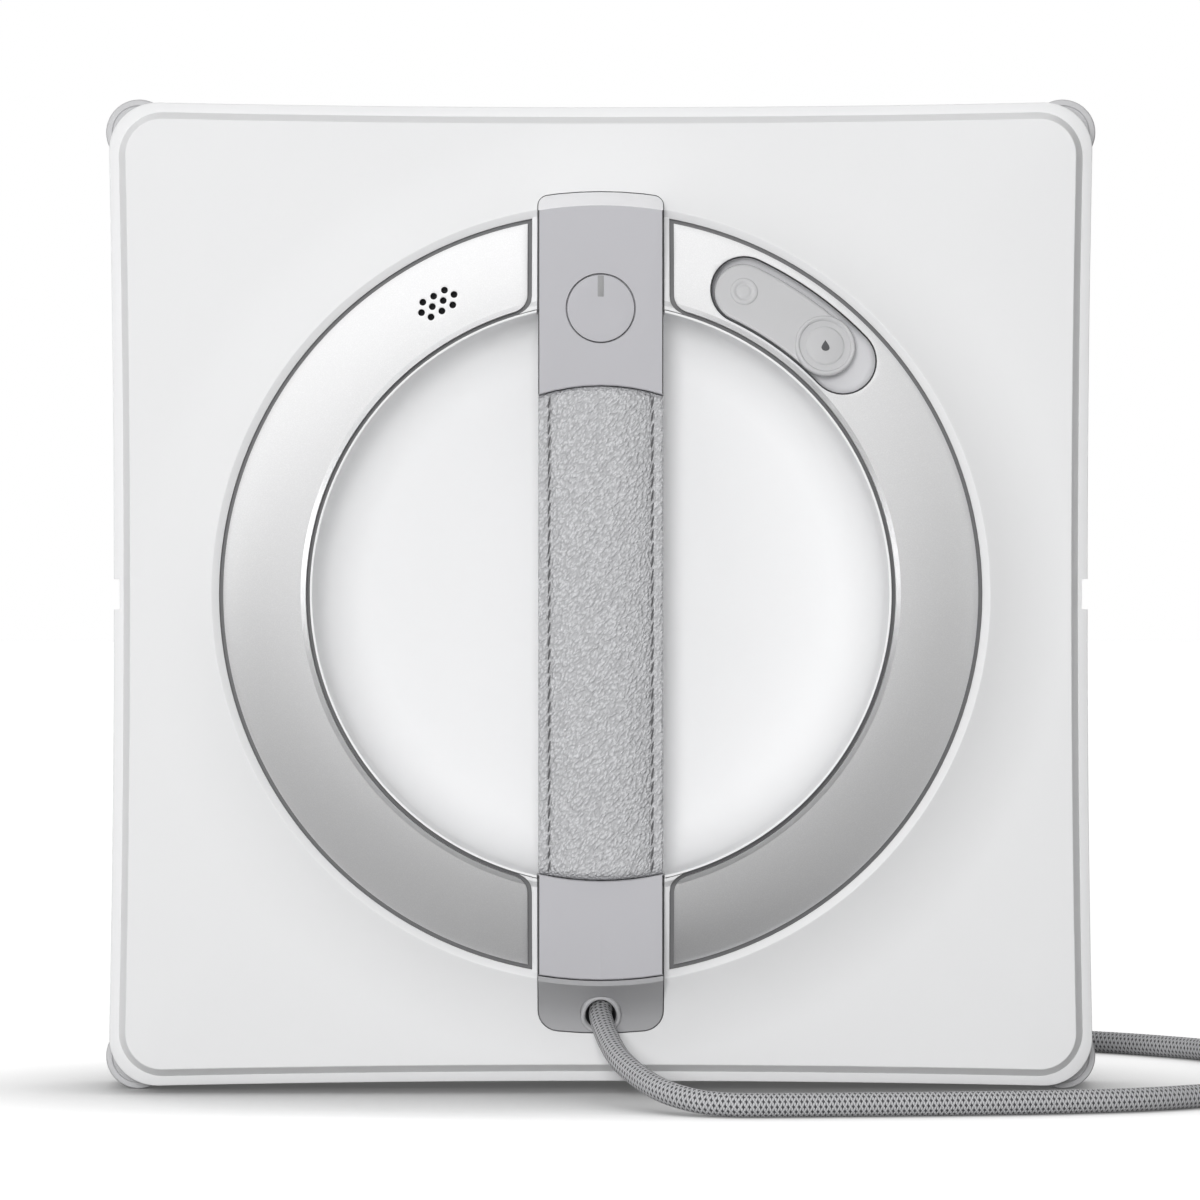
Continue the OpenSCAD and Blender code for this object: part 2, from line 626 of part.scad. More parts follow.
// Water circuit
module tank_outline(inset) difference() {
    polygon([[tank_near + inset, 60], [tank_near + inset, tank_far - inset],
        [tank_cut - tank_far - inset, tank_far - inset], [tank_far - inset, tank_cut - tank_far - inset],
        [tank_far - inset, tank_near + inset], [60, tank_near + inset]]);
    circle(tank_in_r + inset);
}
module water_tank() color("lightblue") stand() difference() {
    translate([0, 0, tank_z]) linear_extrude(tank_top - tank_z) tank_outline(0);
    translate([0, 0, tank_z + tank_wall]) linear_extrude(tank_top - tank_z - 2 * tank_wall)
        tank_outline(tank_wall);
    in_angle(filler_r, plug_a) translate([0, 0, neck_low - 1])
        cylinder(r = neck_in_r + neck_wall + fit_gap, h = depth);
}
module water_pump() color("dimgray") stand() translate([pump_at[0], pump_at[1], base_top]) {
    cube(pump);
    translate([pump[0] / 2, pump[1] / 2, pump[2]]) cylinder(r = pump_head[0], h = pump_head[1]);
}
// Hoses from the tank to the pump and from the pump to each spray nozzle
pump_end = pump_at[1] + pump[1];
suction_hose = [for (y = [0, -3, -6]) [suction_x, tank_near + y, tank_hose_z],
    [suction_x, 10, 29], [suction_x, 0, 21], for (y = [6, 3, 0]) [suction_x, pump_end + y, hose_z]];
near_hose = [for (y = [0, 3, 6]) [outlet_x, pump_end + y, hose_z], [outlet_x + 0.5, -2, 22], [113, 0, 25],
    for (x = [4, 2, 0]) [nozzle_x - x, 0, spray_z]];
far_hose = [for (y = [0, 3, 6]) [far_hose_x, pump_at[1] - y, hose_z], [104, -60, 25], [104, -76, 34],
    [103, -100, 34], [97, -116, 34], [84, -122.5, 34], [40, -123, 34], [-40, -123, 34], [-84, -122.5, 34],
    [-97, -116, 34], [-104, -100, 34], [-108, -70, 34], [-109, -36, 31], [-109.5, -12, 27], [-112, -2, 26],
    for (x = [4, 2, 0]) [x - nozzle_x, 0, spray_z]];
module water_hoses() color("whitesmoke") stand() for (path = [suction_hose, near_hose, far_hose])
    tube(smooth(path), 8, hose_r);
module spray_nozzle(s) color("gray") stand() scale_side(s)
    translate([nozzle_x, 0, spray_z]) rotate([0, 90, 0]) difference() {
        union() {
            cylinder(r = nozzle_r, h = frame_h - bow - notch_d - nozzle_x);
            cylinder(r = nozzle_r + nozzle_flange[0], h = nozzle_flange[1]);
        }
        translate([0, 0, nozzle_flange[1] - 2]) cylinder(r = jet_r, h = frame_h, $fn = 24);
    }

// Suction fan
module fan_housing() color("dimgray") stand() difference() {
    translate([0, 0, base_top]) cylinder(r = fan_r + fan_wall, h = fan_top - base_top);
    translate([0, 0, base_top - 1]) cylinder(r = fan_r, h = fan_top - base_top - fan_wall + 1);
    translate([-fan_r, 10, base_top + 3]) cube([24, fan_r, fan_top - base_top - 8]);
}
module fan_motor() color("silver") stand() difference() {
    translate([0, 0, fan_motor_z]) cylinder(r = fan_motor_r, h = fan_top - fan_wall - fan_motor_z);
    cylinder(r = motor_shaft_r + shaft_gap, h = depth);
}
module fan_impeller() color("black") stand() {
    translate([0, 0, base_top + 3]) cylinder(r = motor_shaft_r, h = fan_motor_z - base_top + 2);
    translate([0, 0, base_top + 3]) cylinder(r = 7, h = fan_motor_z - base_top - 4);
    translate([0, 0, fan_motor_z - 2.5]) cylinder(r = impeller_r, h = 1.5);
    for (a = [0:40:320]) rotate(a) translate([15, 0, base_top + 2]) rotate(35)
        cube([impeller_r - 18.5, 1.2, fan_motor_z - base_top - 4.2]);
}
module intake_grille() color("gray") stand() translate([0, 0, base_z]) difference() {
    cylinder(r = intake_r + grille_lip - fit_gap, h = grille_t);
    for (i = [-4:4]) translate([i * slot_pitch, 0, 0])
        cube([slot_w, 2 * sqrt(pow(intake_r - grille_lip, 2) - pow(i * slot_pitch, 2)), 10], center = true);
}

// Electronics
module battery_pack() color("royalblue") stand() translate([0, battery_y, base_top + battery[2] / 2])
    cube(battery, center = true);
module main_board() color("darkgreen") stand() translate([0, board_y, board_z]) {
    translate([-board[0] / 2, -board[1] / 2, 0]) cube(board);
    for (i = [0:4]) translate([-45 + 19 * i, -6, board[2] - eps]) cube([10, 12, 3 + 2 * (i % 2)]);
}
module edge_sensors() color("black") stand() at_corners(sensor_c) translate([0, 0, base_z - 0.5])
    cylinder(r = sensor_r, h = base_t + 4);
module housing_screws() color("dimgray") stand() for (p = screw_at) translate([p[0], p[1], base_z]) {
    cylinder(r = screw_r, h = screw_len);
    cylinder(r = screw_head_r, h = 1.9);
}

// Cleaning pad
module cleaning_pad() color("whitesmoke") stand() linear_extrude(pad_t) difference() {
    round_rect(2 * pad_h, 2 * pad_h, pad_r);
    round_rect(pad_open[0], pad_open[1], 14);
}
module pad_hook_strips() color("gray") stand() translate([0, 0, pad_t]) for (a = [0:90:270])
    rotate(a) translate([0, 104, hook_t / 2]) cube([110, 14, hook_t], center = true);

// Tracks
function inv(a) = tan(a) - a * PI / 180;
function tooth_angle(n, r) = let (rp = gear_m * n / 2, rb = rp * cos(gear_pa))
    180 / PI * (PI / (2 * n) - gear_backlash / (2 * rp) + inv(gear_pa)
        - inv(acos(min(1, rb / max(r, rb)))));
function gear_points(n) = let (rp = gear_m * n / 2, rf = rp - gear_ded * gear_m, ra = rp + gear_add * gear_m,
        radii = [rf, rp * cos(gear_pa) > rf ? rp * cos(gear_pa) : (rf + rp) / 2, rp, (rp + ra) / 2, ra])
    [for (i = [0:n - 1]) each concat(
        [for (r = radii) r * [cos(360 * i / n - tooth_angle(n, r)), sin(360 * i / n - tooth_angle(n, r))]],
        [for (k = [len(radii) - 1:-1:0]) let (r = radii[k])
            r * [cos(360 * i / n + tooth_angle(n, r)), sin(360 * i / n + tooth_angle(n, r))]])];
module gear_blank(n, turn) rotate(turn) polygon(gear_points(n));
module drive_gear(s) color("goldenrod") stand() scale_side(s)
    along_x(gear_x, gear_w) translate([-wheel_y, axle_z]) difference() {
        gear_blank(gear_teeth, 135);
        circle(axle_r + shaft_gap / 2);
    }
module drive_pinion(s) color("darkgray") stand() scale_side(s) {
    along_x(gear_x, gear_w) translate([pinion_y, pinion_z])
        gear_blank(pinion_teeth, -45 + 180 / pinion_teeth);
    along_x(gear_x - 15, 15 + eps) translate([pinion_y, pinion_z]) circle(motor_shaft);
}
module drive_motor(s) color("silver") stand() scale_side(s) along_x(box_x0 - motor_len, motor_len)
    translate([pinion_y, pinion_z]) difference() {
        circle(motor_r);
        circle(motor_shaft + shaft_gap);
    }
module drive_gearbox(s) color("dimgray") stand() scale_side(s) difference() {
    translate([box_x0, box_y0, base_top]) cube([box_x1 - box_x0, box_y1 - box_y0, box_top - base_top]);
    translate([box_x0 + box_t, box_y0 + box_t, base_top - 1])
        cube([box_x1 - box_x0, box_y1 - box_y0 - 2 * box_t, box_top - box_t - base_top + 1]);
    along_x(box_x0 - 1, 5) translate([pinion_y, pinion_z]) circle(pinion_teeth * gear_m / 2 + 1);
}
module drive_wheel(s) color("darkgray") stand() scale_side(s) {
    along_x(track_x - wheel_w / 2, wheel_w) translate([-wheel_y, axle_z]) circle(wheel_r);
    along_x(gear_x - 0.5, track_x + bay_half + bay_wall - gear_x) translate([-wheel_y, axle_z])
        circle(axle_r);
}
module idler_wheel(s) color("darkgray") stand() scale_side(s) along_x(track_x - wheel_w / 2, wheel_w)
    translate([wheel_y, axle_z]) difference() {
        circle(wheel_r);
        circle(axle_r + shaft_gap);
    }
module idler_axles() color("silver") stand() sides()
    along_x(track_x - bay_half - bay_wall, 2 * (bay_half + bay_wall)) translate([wheel_y, axle_z])
        circle(axle_r);
module stadium(r) {
    for (s = [-1, 1]) translate([s * wheel_y, 0]) circle(r);
    square([2 * wheel_y, 2 * r], center = true);
}
module track_belt(s) color("black") stand() scale_side(s) along_x(track_x - belt_w / 2, belt_w)
    translate([0, axle_z]) difference() {
        stadium(track_r);
        stadium(track_r - belt_t);
    }

// Corner rollers
module corner_roller(sx, sy) color("lightgray") stand()
    translate([sx * roller_c, sy * roller_c, base_top + move_gap]) rotate_extrude() polygon(
        [[roller_pin_r + shaft_gap, 0], [roller_r - 1, 0], [roller_r, 1], [roller_r, roller_h - 1],
            [roller_r - 1, roller_h], [roller_pin_r + shaft_gap, roller_h]]);
module roller_pins() color("silver") stand() at_corners(roller_c) translate([0, 0, base_top])
    cylinder(r = roller_pin_r, h = roof_z - base_top);

// Cord: a tube swept along a list of points
function unit(v) = v / norm(v);
function tangent(p, i) = unit(p[min(i + 1, len(p) - 1)] - p[max(i - 1, 0)]);
function spline(p, i, t) = let (a = p[max(i - 1, 0)], b = p[i], c = p[i + 1], d = p[min(i + 2, len(p) - 1)])
    b + 0.5 * t * (c - a + t * (2 * a - 5 * b + 4 * c - d + t * (3 * (b - c) + d - a)));
function smooth(p) = concat([for (i = [0:len(p) - 2], t = [0, 0.5]) spline(p, i, t)], [p[len(p) - 1]]);
function ring(p, i, n, r) = let (t = tangent(p, i), across = unit(cross(t, [0, 0, 1])), up = cross(across, t))
    [for (k = [0:n - 1]) p[i] + r * (cos(360 * k / n) * across + sin(360 * k / n) * up)];
module tube(p, n, r) {
    last = len(p) - 1;
    polyhedron([for (i = [0:last]) each ring(p, i, n, r)], concat(
        [for (k = [1:n - 2]) [0, k + 1, k]],
        [for (k = [1:n - 2]) [last * n, last * n + k, last * n + k + 1]],
        [for (i = [0:last - 1], k = [0:n - 1]) let (a = i * n + k, b = i * n + (k + 1) % n)
            each [[a, b, b + n], [a, b + n, a + n]]]));
}
coil_in_r = coil_r - coil_turns * turn_step;
function coil_point(tau) = let (k = min(3, floor(tau / (coil_turns + 0.5) + eps)),
        u = tau - k * (coil_turns + 0.5), s = max(0, 2 * (u - coil_turns)),
        bulge = turn_step * min(s, 1 - s) / 2, run = turn_step * min(u, coil_turns),
        r = k % 2 == 0 ? coil_r - run - bulge : coil_in_r + run + bulge, a = 90 + 360 * tau)
    [coil_c[0] + r * cos(a), coil_c[1] + r * sin(a), coil_z + turn_step * (k + s)];
coil_steps = (4 * coil_turns + 1.5) * coil_rings;
coil_loops = [for (i = [0:coil_steps]) coil_point(i / coil_rings)];
coil_path = concat([coil_loops[0] + [cord_d, 0, 0]], coil_loops, [coil_loops[coil_steps] + [cord_d, 0, 0]]);
module cord_run() color("gray") tube(smooth(cord_route), 8, cord_d / 2);
module cord_coil() color("gray") {
    half = coil_rings / 2;
    gaps = [for (i = [0:coil_steps - half], j = [i + half:coil_steps]) norm(coil_loops[i] - coil_loops[j])];
    echo(least_gap_between_turns = min(gaps) - cord_d);
    tube(coil_path, 6, cord_d / 2);
}
module cord_tail() color("gray") tube(smooth(tail_route), 8, cord_d / 2);
tie_in = coil_in_r - turn_step / 4 - cord_d / 2 - 0.4;
tie_out = coil_r + cord_d / 2 + 0.4;
tie_h = coil_z + 3 * turn_step + cord_d / 2 + 0.3;
module cord_tie() color("black")
    translate([coil_c[0] - tie_out - tie_t, coil_c[1] - tie_w / 2, 0]) difference() {
    cube([tie_out - tie_in + 2 * tie_t, tie_w, tie_h + tie_t]);
    translate([tie_t, -1, tie_t]) cube([tie_out - tie_in, tie_w + 2, tie_h - tie_t]);
}
module cord_connector() color("dimgray") translate(connector_at) rotate([0, 90, 0]) {
    cylinder(r = connector_r - 1, h = connector_len);
    translate([0, 0, 4]) cylinder(r = connector_r, h = connector_len - 14);
}

base_plate();
cleaning_pad();
pad_hook_strips();
outer_frame();
top_cover();
hand_bowl();
trim_left();
trim_right();
handle_core();
handle_grip();
handle_top_cap();
handle_bottom_cap();
cable_outlet_cover();
cable_grommet();
speaker();
filler_tray();
filler_stopper();
filler_strap();
water_tank();
water_pump();
water_hoses();
spray_nozzle(-1);  // spray_nozzle_left
spray_nozzle(1);  // spray_nozzle_right
fan_housing();
fan_motor();
fan_impeller();
intake_grille();
battery_pack();
main_board();
switch_board();
power_button();
drive_motor(-1);  // drive_motor_left
drive_motor(1);  // drive_motor_right
drive_gearbox(-1);  // drive_gearbox_left
drive_gearbox(1);  // drive_gearbox_right
drive_pinion(-1);  // drive_pinion_left
drive_pinion(1);  // drive_pinion_right
drive_gear(-1);  // drive_gear_left
drive_gear(1);  // drive_gear_right
drive_wheel(-1);  // drive_wheel_left
drive_wheel(1);  // drive_wheel_right
idler_wheel(-1);  // idler_wheel_left
idler_wheel(1);  // idler_wheel_right
idler_axles();
track_belt(-1);  // track_belt_left
track_belt(1);  // track_belt_right
corner_roller(-1, 1);  // roller_top_left
corner_roller(1, 1);  // roller_top_right
corner_roller(-1, -1);  // roller_bottom_left
corner_roller(1, -1);  // roller_bottom_right
roller_pins();
edge_sensors();
housing_screws();
cord_run();
cord_coil();
cord_tail();
cord_tie();
cord_connector();
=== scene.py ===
# Scene of a window-cleaning robot that stands on its edge: its finished shells, soft pieces and tether cord.
# Pieces are drawn in millimetres lying on the glass (x right, y up the face, z out of the glass), and
# stand() puts a point into the row frame, in metres.
import math

import bmesh
import bpy
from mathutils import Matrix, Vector, noise


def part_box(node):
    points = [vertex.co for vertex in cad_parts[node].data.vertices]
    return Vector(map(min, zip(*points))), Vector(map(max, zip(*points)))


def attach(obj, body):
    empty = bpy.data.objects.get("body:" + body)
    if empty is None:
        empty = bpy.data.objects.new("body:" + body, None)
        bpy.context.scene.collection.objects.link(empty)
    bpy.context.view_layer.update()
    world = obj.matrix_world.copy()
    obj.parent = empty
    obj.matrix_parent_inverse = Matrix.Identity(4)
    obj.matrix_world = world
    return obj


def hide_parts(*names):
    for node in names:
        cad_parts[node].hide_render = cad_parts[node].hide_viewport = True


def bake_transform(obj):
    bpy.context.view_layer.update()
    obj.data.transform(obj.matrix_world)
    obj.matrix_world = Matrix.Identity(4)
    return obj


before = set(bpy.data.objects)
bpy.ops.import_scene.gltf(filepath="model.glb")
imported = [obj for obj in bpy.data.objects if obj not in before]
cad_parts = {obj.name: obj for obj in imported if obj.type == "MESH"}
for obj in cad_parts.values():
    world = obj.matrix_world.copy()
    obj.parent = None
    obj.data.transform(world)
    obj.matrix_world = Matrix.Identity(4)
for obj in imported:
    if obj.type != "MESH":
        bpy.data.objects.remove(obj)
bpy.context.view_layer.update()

MM = 0.001
GLASS_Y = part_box("cleaning_pad")[1].y
FRAME_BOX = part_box("outer_frame")
MIDDLE_Z = (FRAME_BOX[0].z + FRAME_BOX[1].z) / 2

# Body sizes, in millimetres
FRAME_HALF = (FRAME_BOX[1].x - FRAME_BOX[0].x) / 2 / MM
FRAME_CORNER = 13
FRAME_WALL = 3
BOW = 1.3
BASE_TOP = 9
LEDGE_Z = (GLASS_Y - FRAME_BOX[0].y) / MM
LEDGE_W = 2.7
LEDGE_FALL = 0.8
FLANGE_W = 8
FLANGE_T = 4
SLOPE_W = 2.3
FACE_Z = LEDGE_Z + 6
SHELL = 2.4
COVER_HALF = FRAME_HALF - LEDGE_W
COVER_CORNER = 12
NOTCH_H = 8.2
NOTCH_D = 1.6
ROLLER_AT = 126
POCKET_R = 9.6
POCKET_WALL = 2.4
POCKET_ROOF = 33.8

# Ring, trims and bowl
CREST_R = 104.4
CREST_Z = FACE_Z + 6
COVE_R = 126
LIP_R = 102.4
LIP_Z = CREST_Z - 1.6
RIM_Z = CREST_Z + 7
TRIM_OUT_R = 101.3
TRIM_IN_R = 80.2
TRIM_TOP_R = 78.7
TRIM_TOP_Z = RIM_Z - 0.2
TRIM_IN_Z = TRIM_TOP_Z - 2.2
TRIM_SLOPES = (math.tan(math.radians(8)), math.tan(math.radians(23)))
TRIM_END_X = 19.6
TRIM_INNER_CORNER = 5
LAND_X = 18.4
HOLE_R = 77.8
BOWL_R = 77.7
BOWL_WALL = 1.5
BOWL_ROUND = 14
BOWL_FLOOR_Z = RIM_Z - 29

# Handle
HANDLE_W = 33.3
CAP_Z = RIM_Z + 2
SLEEVE_Z = 54.5
CROWN_Z = CAP_Z + 3
GRIP_TOP_R = 55.5
GRIP_LOW_R = 76.4
CAP_IN_R = 55.6
CAP_FLAT_R = 103.5
CAP_OUT_R = 107.8
LOW_CAP_IN_R = 76.5
LOW_CAP_OUT_R = 102.8
OUTLET_IN_R = 103.1
OUTLET_OUT_R = 117.9
CAP_CORNER = 2.7
EDGE_EASE = 0.35
EDGE_INSET = 0.6
OUTLET_CORNER = 5.4
OUTLET_CURVE = 2.2
SEAT_GAP = 0.35
SEAT_IN_R = 77.9
NOSE_END_R = 108.5
OUTLET_LAP_R = 102.6
SEAT_DEPTH = 1.6
SEAT_SINK = 1
CORE_HALF = 14.1
CORE_LEN = 100.1
CORE_TOP = CAP_Z - 2.5
BUTTON_Y = 76.1
BUTTON_R = 9
STITCH_INSET = 2.9
STITCH_PITCH = 3.5

# Filler and speaker
FILLER_R = 90
STOPPER_R = 89.6
SHEET_R = 89.3
FILLER_A0 = 64.65
FILLER_A1 = 44
PLUG_A = 47.9
HINGE_A = 58.7
SLOT_HALF = 9.3
STOPPER_HALF = 7.8
STOPPER_DROP = 0.8
STOPPER_T = 2.5
MOVE_GAP = 0.4
NOZZLE_Z = 26
GROMMET_Y = -112.9
GROMMET_Z = 55.21
GROMMET_R = 5.45
GROMMET_TILT = math.radians(30)
GROMMET_ARCH = 1.3
SPEAKER_R = 89.1
SPEAKER_A = 119.3
GRILLE_HOLE_R = 0.93
GRILLE_PITCH = 3.32
GRILLE_ROW = 2.3
GRILLE_TILT = 29.1

# Cord
CORD_D = 6.2
COIL_TURNS = 4
COIL_LAYERS = 4
COIL_R = 53.5
COIL_C = (10, 106)
COIL_Z = 4.2
TURN_STEP = 6.75


def stand(x, y, z):
    """A point of the flat frame, in millimetres, as a point of the row frame, in metres."""
    return Vector((x * MM, GLASS_Y - z * MM, MIDDLE_Z + y * MM))


# Camera: level with the middle of the body and straight in front of it
CAMERA_AT = Vector((-0.0002, -1.415, 0.1334))
CAMERA_LENS = 155.8


def make_camera():
    data = bpy.data.cameras.new("camera")
    data.lens = CAMERA_LENS
    data.sensor_width = 36
    camera = bpy.data.objects.new("camera", data)
    camera.location = CAMERA_AT
    camera.rotation_euler = (math.radians(90), 0, 0)
    bpy.context.scene.collection.objects.link(camera)
    bpy.context.scene.camera = camera


make_camera()


# Node trees: sockets that take Python's operators
class Socket:
    """An output socket. Python's operators on it add Math nodes."""

    def __init__(self, tree, socket):
        self.tree = tree
        self.socket = socket

    def __add__(self, other):
        return self.tree.math("ADD", self, other)

    def __sub__(self, other):
        return self.tree.math("SUBTRACT", self, other)

    def __rsub__(self, other):
        return self.tree.math("SUBTRACT", other, self)

    def __mul__(self, other):
        return self.tree.math("MULTIPLY", self, other)

    def __truediv__(self, other):
        return self.tree.math("DIVIDE", self, other)

    def __pow__(self, other):
        return self.tree.math("POWER", self, other)

    __radd__ = __add__
    __rmul__ = __mul__


class Tree:
    """A node tree, with one method that adds any node."""

    def __init__(self, tree):
        self.tree = tree
        tree.nodes.clear()

    def node(self, kind, settings=None, sockets=None, out=0):
        made = self.tree.nodes.new(kind)
        for name, value in (settings or {}).items():
            if name == "stops":
                ramp = made.color_ramp
                while len(ramp.elements) < len(value):
                    ramp.elements.new(0.5)
                for element, (place, shade) in zip(ramp.elements, value):
                    element.position = place
                    element.color = shade
            else:
                setattr(made, name, value)
        for name, value in (sockets or {}).items():
            self.feed(made.inputs[name], value)
        return Socket(self, made.outputs[out]) if len(made.outputs) else made

    def feed(self, target, value):
        if isinstance(value, Socket):
            self.tree.links.new(value.socket, target)
        else:
            target.default_value = value

    def math(self, operation, *values):
        return self.node("ShaderNodeMath", {"operation": operation}, dict(enumerate(values)))

    def vector(self, operation, *values, out=0):
        return self.node("ShaderNodeVectorMath", {"operation": operation}, dict(enumerate(values)), out)

    def step(self, value, low, high):
        """0 below low, 1 above high and smooth between them."""
        return self.node("ShaderNodeMapRange", {"interpolation_type": "SMOOTHSTEP"},
                         {"Value": value, "From Min": low, "From Max": high})

    def blend(self, share, a, b):
        """Colour a where share is 0 and b where it is 1."""
        return self.node("ShaderNodeMix", {"data_type": "RGBA"}, {0: share, 6: a, 7: b}, 2)


class Finish(Tree):
    """A material: one Principled shader, whose constant values are set on its own sockets."""

    def __init__(self, name, colour, roughness, metallic=0.0, **fixed):
        self.material = bpy.data.materials.new(name)
        self.material.use_nodes = True
        super().__init__(self.material.node_tree)
        self.shader = self.tree.nodes.new("ShaderNodeBsdfPrincipled")
        output = self.tree.nodes.new("ShaderNodeOutputMaterial")
        self.tree.links.new(self.shader.outputs[0], output.inputs["Surface"])
        values = {"base_color": (*colour, 1), "roughness": roughness, "metallic": metallic, **fixed}
        for key, value in values.items():
            self.set(SOCKET_NAMES.get(key, key.replace("_", " ").title()), value)
        self.colour = colour

    def set(self, name, value):
        self.feed(self.shader.inputs[name], value)

    def place(self, scale=(1, 1, 1), turn=(0, 0, 0)):
        """Object coordinates, scaled and then turned."""
        at = self.node("ShaderNodeTexCoord", out="Object")
        return self.node("ShaderNodeMapping", sockets={"Vector": at, "Rotation": turn, "Scale": scale})

    def noise(self, scale, detail=2.0, vector=None):
        sockets = {"Scale": scale, "Detail": detail}
        sockets["Vector"] = vector or self.place()
        return self.node("ShaderNodeTexNoise", sockets=sockets)

    def cells(self, scale, feature="F1", vector=None, randomness=1.0):
        sockets = {"Scale": scale, "Randomness": randomness, "Vector": vector or self.place()}
        return self.node("ShaderNodeTexVoronoi", {"feature": feature}, sockets, "Distance")

    def tone(self, share, spread):
        """The base colour, varied by share (0 to 1) over plus and minus spread."""
        dark = (*[c * (1 - spread) for c in self.colour], 1)
        light = (*[min(1, c * (1 + spread)) for c in self.colour], 1)
        self.set("Base Color", self.blend(share, dark, light))

    def relief(self, height, depth, strength=1.0):
        """Bump from a height of 0 to 1 that stands for depth, in metres."""
        self.set("Normal", self.node("ShaderNodeBump", sockets={"Height": height, "Distance": depth,
                                                                "Strength": strength}))


SOCKET_NAMES = {"ior": "IOR"}


# Mesh making
def new_object(name, points, faces):
    mesh = bpy.data.meshes.new(name)
    mesh.from_pydata([tuple(p) for p in points], [], faces)
    obj = bpy.data.objects.new(name, mesh)
    bpy.context.scene.collection.objects.link(obj)
    return obj


def tidy_mesh(obj):
    """Merges doubles and points the faces of a closed shell outwards."""
    work = bmesh.new()
    work.from_mesh(obj.data)
    bmesh.ops.remove_doubles(work, verts=work.verts, dist=1e-7)
    bmesh.ops.dissolve_degenerate(work, edges=work.edges, dist=1e-8)
    bmesh.ops.recalc_face_normals(work, faces=work.faces)
    work.to_mesh(obj.data)
    work.free()
    return obj


def loft(name, loops, wrap=False):
    """Closed shell through closed loops of equal length. wrap joins the last loop to the first."""
    count = len(loops[0])
    points = [p for loop in loops for p in loop]
    faces = []
    for i in range(len(loops) if wrap else len(loops) - 1):
        a = i * count
        b = (i + 1) % len(loops) * count
        for k in range(count):
            j = (k + 1) % count
            faces.append((a + k, a + j, b + j, b + k))
    if not wrap:
        last = (len(loops) - 1) * count
        faces.append(tuple(range(count - 1, -1, -1)))
        faces.append(tuple(range(last, last + count)))
    return tidy_mesh(new_object(name, points, faces))


def revolve(name, profile, place=stand, steps=96, wrap=False):
    """Shell of (radius, height) points turned about the height axis. place puts a point in the row frame."""
    turns = [2 * math.pi * k / steps for k in range(steps)]
    loops = [[place(r * math.cos(t), r * math.sin(t), h) for t in turns] for r, h in profile]
    return loft(name, loops, wrap)


def slab(name, top, bottom):
    """Closed shell between two grids of points of equal size."""
    rows, columns = len(top), len(top[0])
    points = [p for grid in (top, bottom) for row in grid for p in row]
    under = rows * columns
    faces = []
    for i in range(rows - 1):
        for j in range(columns - 1):
            a = i * columns + j
            faces.append((a, a + 1, a + columns + 1, a + columns))
            faces.append((under + a, under + a + columns, under + a + columns + 1, under + a + 1))
    rim = [j for j in range(columns)] + [i * columns + columns - 1 for i in range(1, rows)]
    rim += [(rows - 1) * columns + j for j in range(columns - 2, -1, -1)]
    rim += [i * columns for i in range(rows - 2, 0, -1)]
    for k, a in enumerate(rim):
        b = rim[(k + 1) % len(rim)]
        faces.append((a, b, under + b, under + a))
    return tidy_mesh(new_object(name, points, faces))


def rounded(points, radii, steps=4, closed=False):
    """A polyline with arcs of the given radii at the given points, as {index: radius}."""
    made = []
    for i, p in enumerate(points):
        here = Vector(p)
        radius = radii.get(i, 0)
        if not radius or (not closed and i in (0, len(points) - 1)):
            made.append(tuple(here))
            continue
        back = (Vector(points[i - 1]) - here).normalized()
        on = (Vector(points[(i + 1) % len(points)]) - here).normalized()
        half = math.acos(max(-1, min(1, back.dot(on)))) / 2
        reach = radius / math.tan(half)
        centre = here + (back + on).normalized() * (radius / math.sin(half))
        first = here + back * reach - centre
        sweep = math.pi - 2 * half
        sign = 1 if back.x * on.y - back.y * on.x < 0 else -1
        for k in range(steps + 1):
            t = sign * sweep * k / steps
            c, s = math.cos(t), math.sin(t)
            made.append(tuple(centre + Vector((first.x * c - first.y * s, first.x * s + first.y * c))))
    return made


def applied(obj):
    """Turns the object's modifiers into its mesh."""
    bpy.context.view_layer.update()
    mesh = bpy.data.meshes.new_from_object(obj.evaluated_get(bpy.context.evaluated_depsgraph_get()))
    obj.modifiers.clear()
    old = obj.data
    obj.data = mesh
    bpy.data.meshes.remove(old)
    return obj


def combine(obj, other, operation):
    modifier = obj.modifiers.new("shape", "BOOLEAN")
    modifier.operation = operation
    modifier.solver = "EXACT"
    modifier.object = other
    applied(obj)
    bpy.data.objects.remove(other)
    return obj


def soften(obj, width, segments=2, angle=40):
    """Rounds the edges sharper than angle, by a width in millimetres."""
    modifier = obj.modifiers.new("edges", "BEVEL")
    modifier.width = width * MM
    modifier.segments = segments
    modifier.limit_method = "ANGLE"
    modifier.angle_limit = math.radians(angle)
    modifier.use_clamp_overlap = True
    return applied(obj)


def shade(obj, angle=32):
    obj.data.polygons.foreach_set("use_smooth", [True] * len(obj.data.polygons))
    obj.data.set_sharp_from_angle(angle=math.radians(angle))
    return obj


def joined(obj, *others):
    """One object from several shells."""
    work = bmesh.new()
    for part in (obj, *others):
        work.from_mesh(part.data)
    work.to_mesh(obj.data)
    work.free()
    for part in others:
        bpy.data.objects.remove(part)
    return obj


def box_shell(name, low, high):
    """Box between two corners of the flat frame."""
    loops = []
    for z in (low[2], high[2]):
        corners = ((low[0], low[1]), (high[0], low[1]), (high[0], high[1]), (low[0], high[1]))
        loops.append([stand(x, y, z) for x, y in corners])
    return loft(name, loops)


def put(obj, finish, body, slot, *nodes):
    """Gives a piece its finish and its body, and hides the CAD nodes that it stands for. slot is not used."""
    obj.data.materials.clear()
    obj.data.materials.append(finish.material)
    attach(obj, body)
    if nodes:
        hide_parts(*nodes)
    return obj


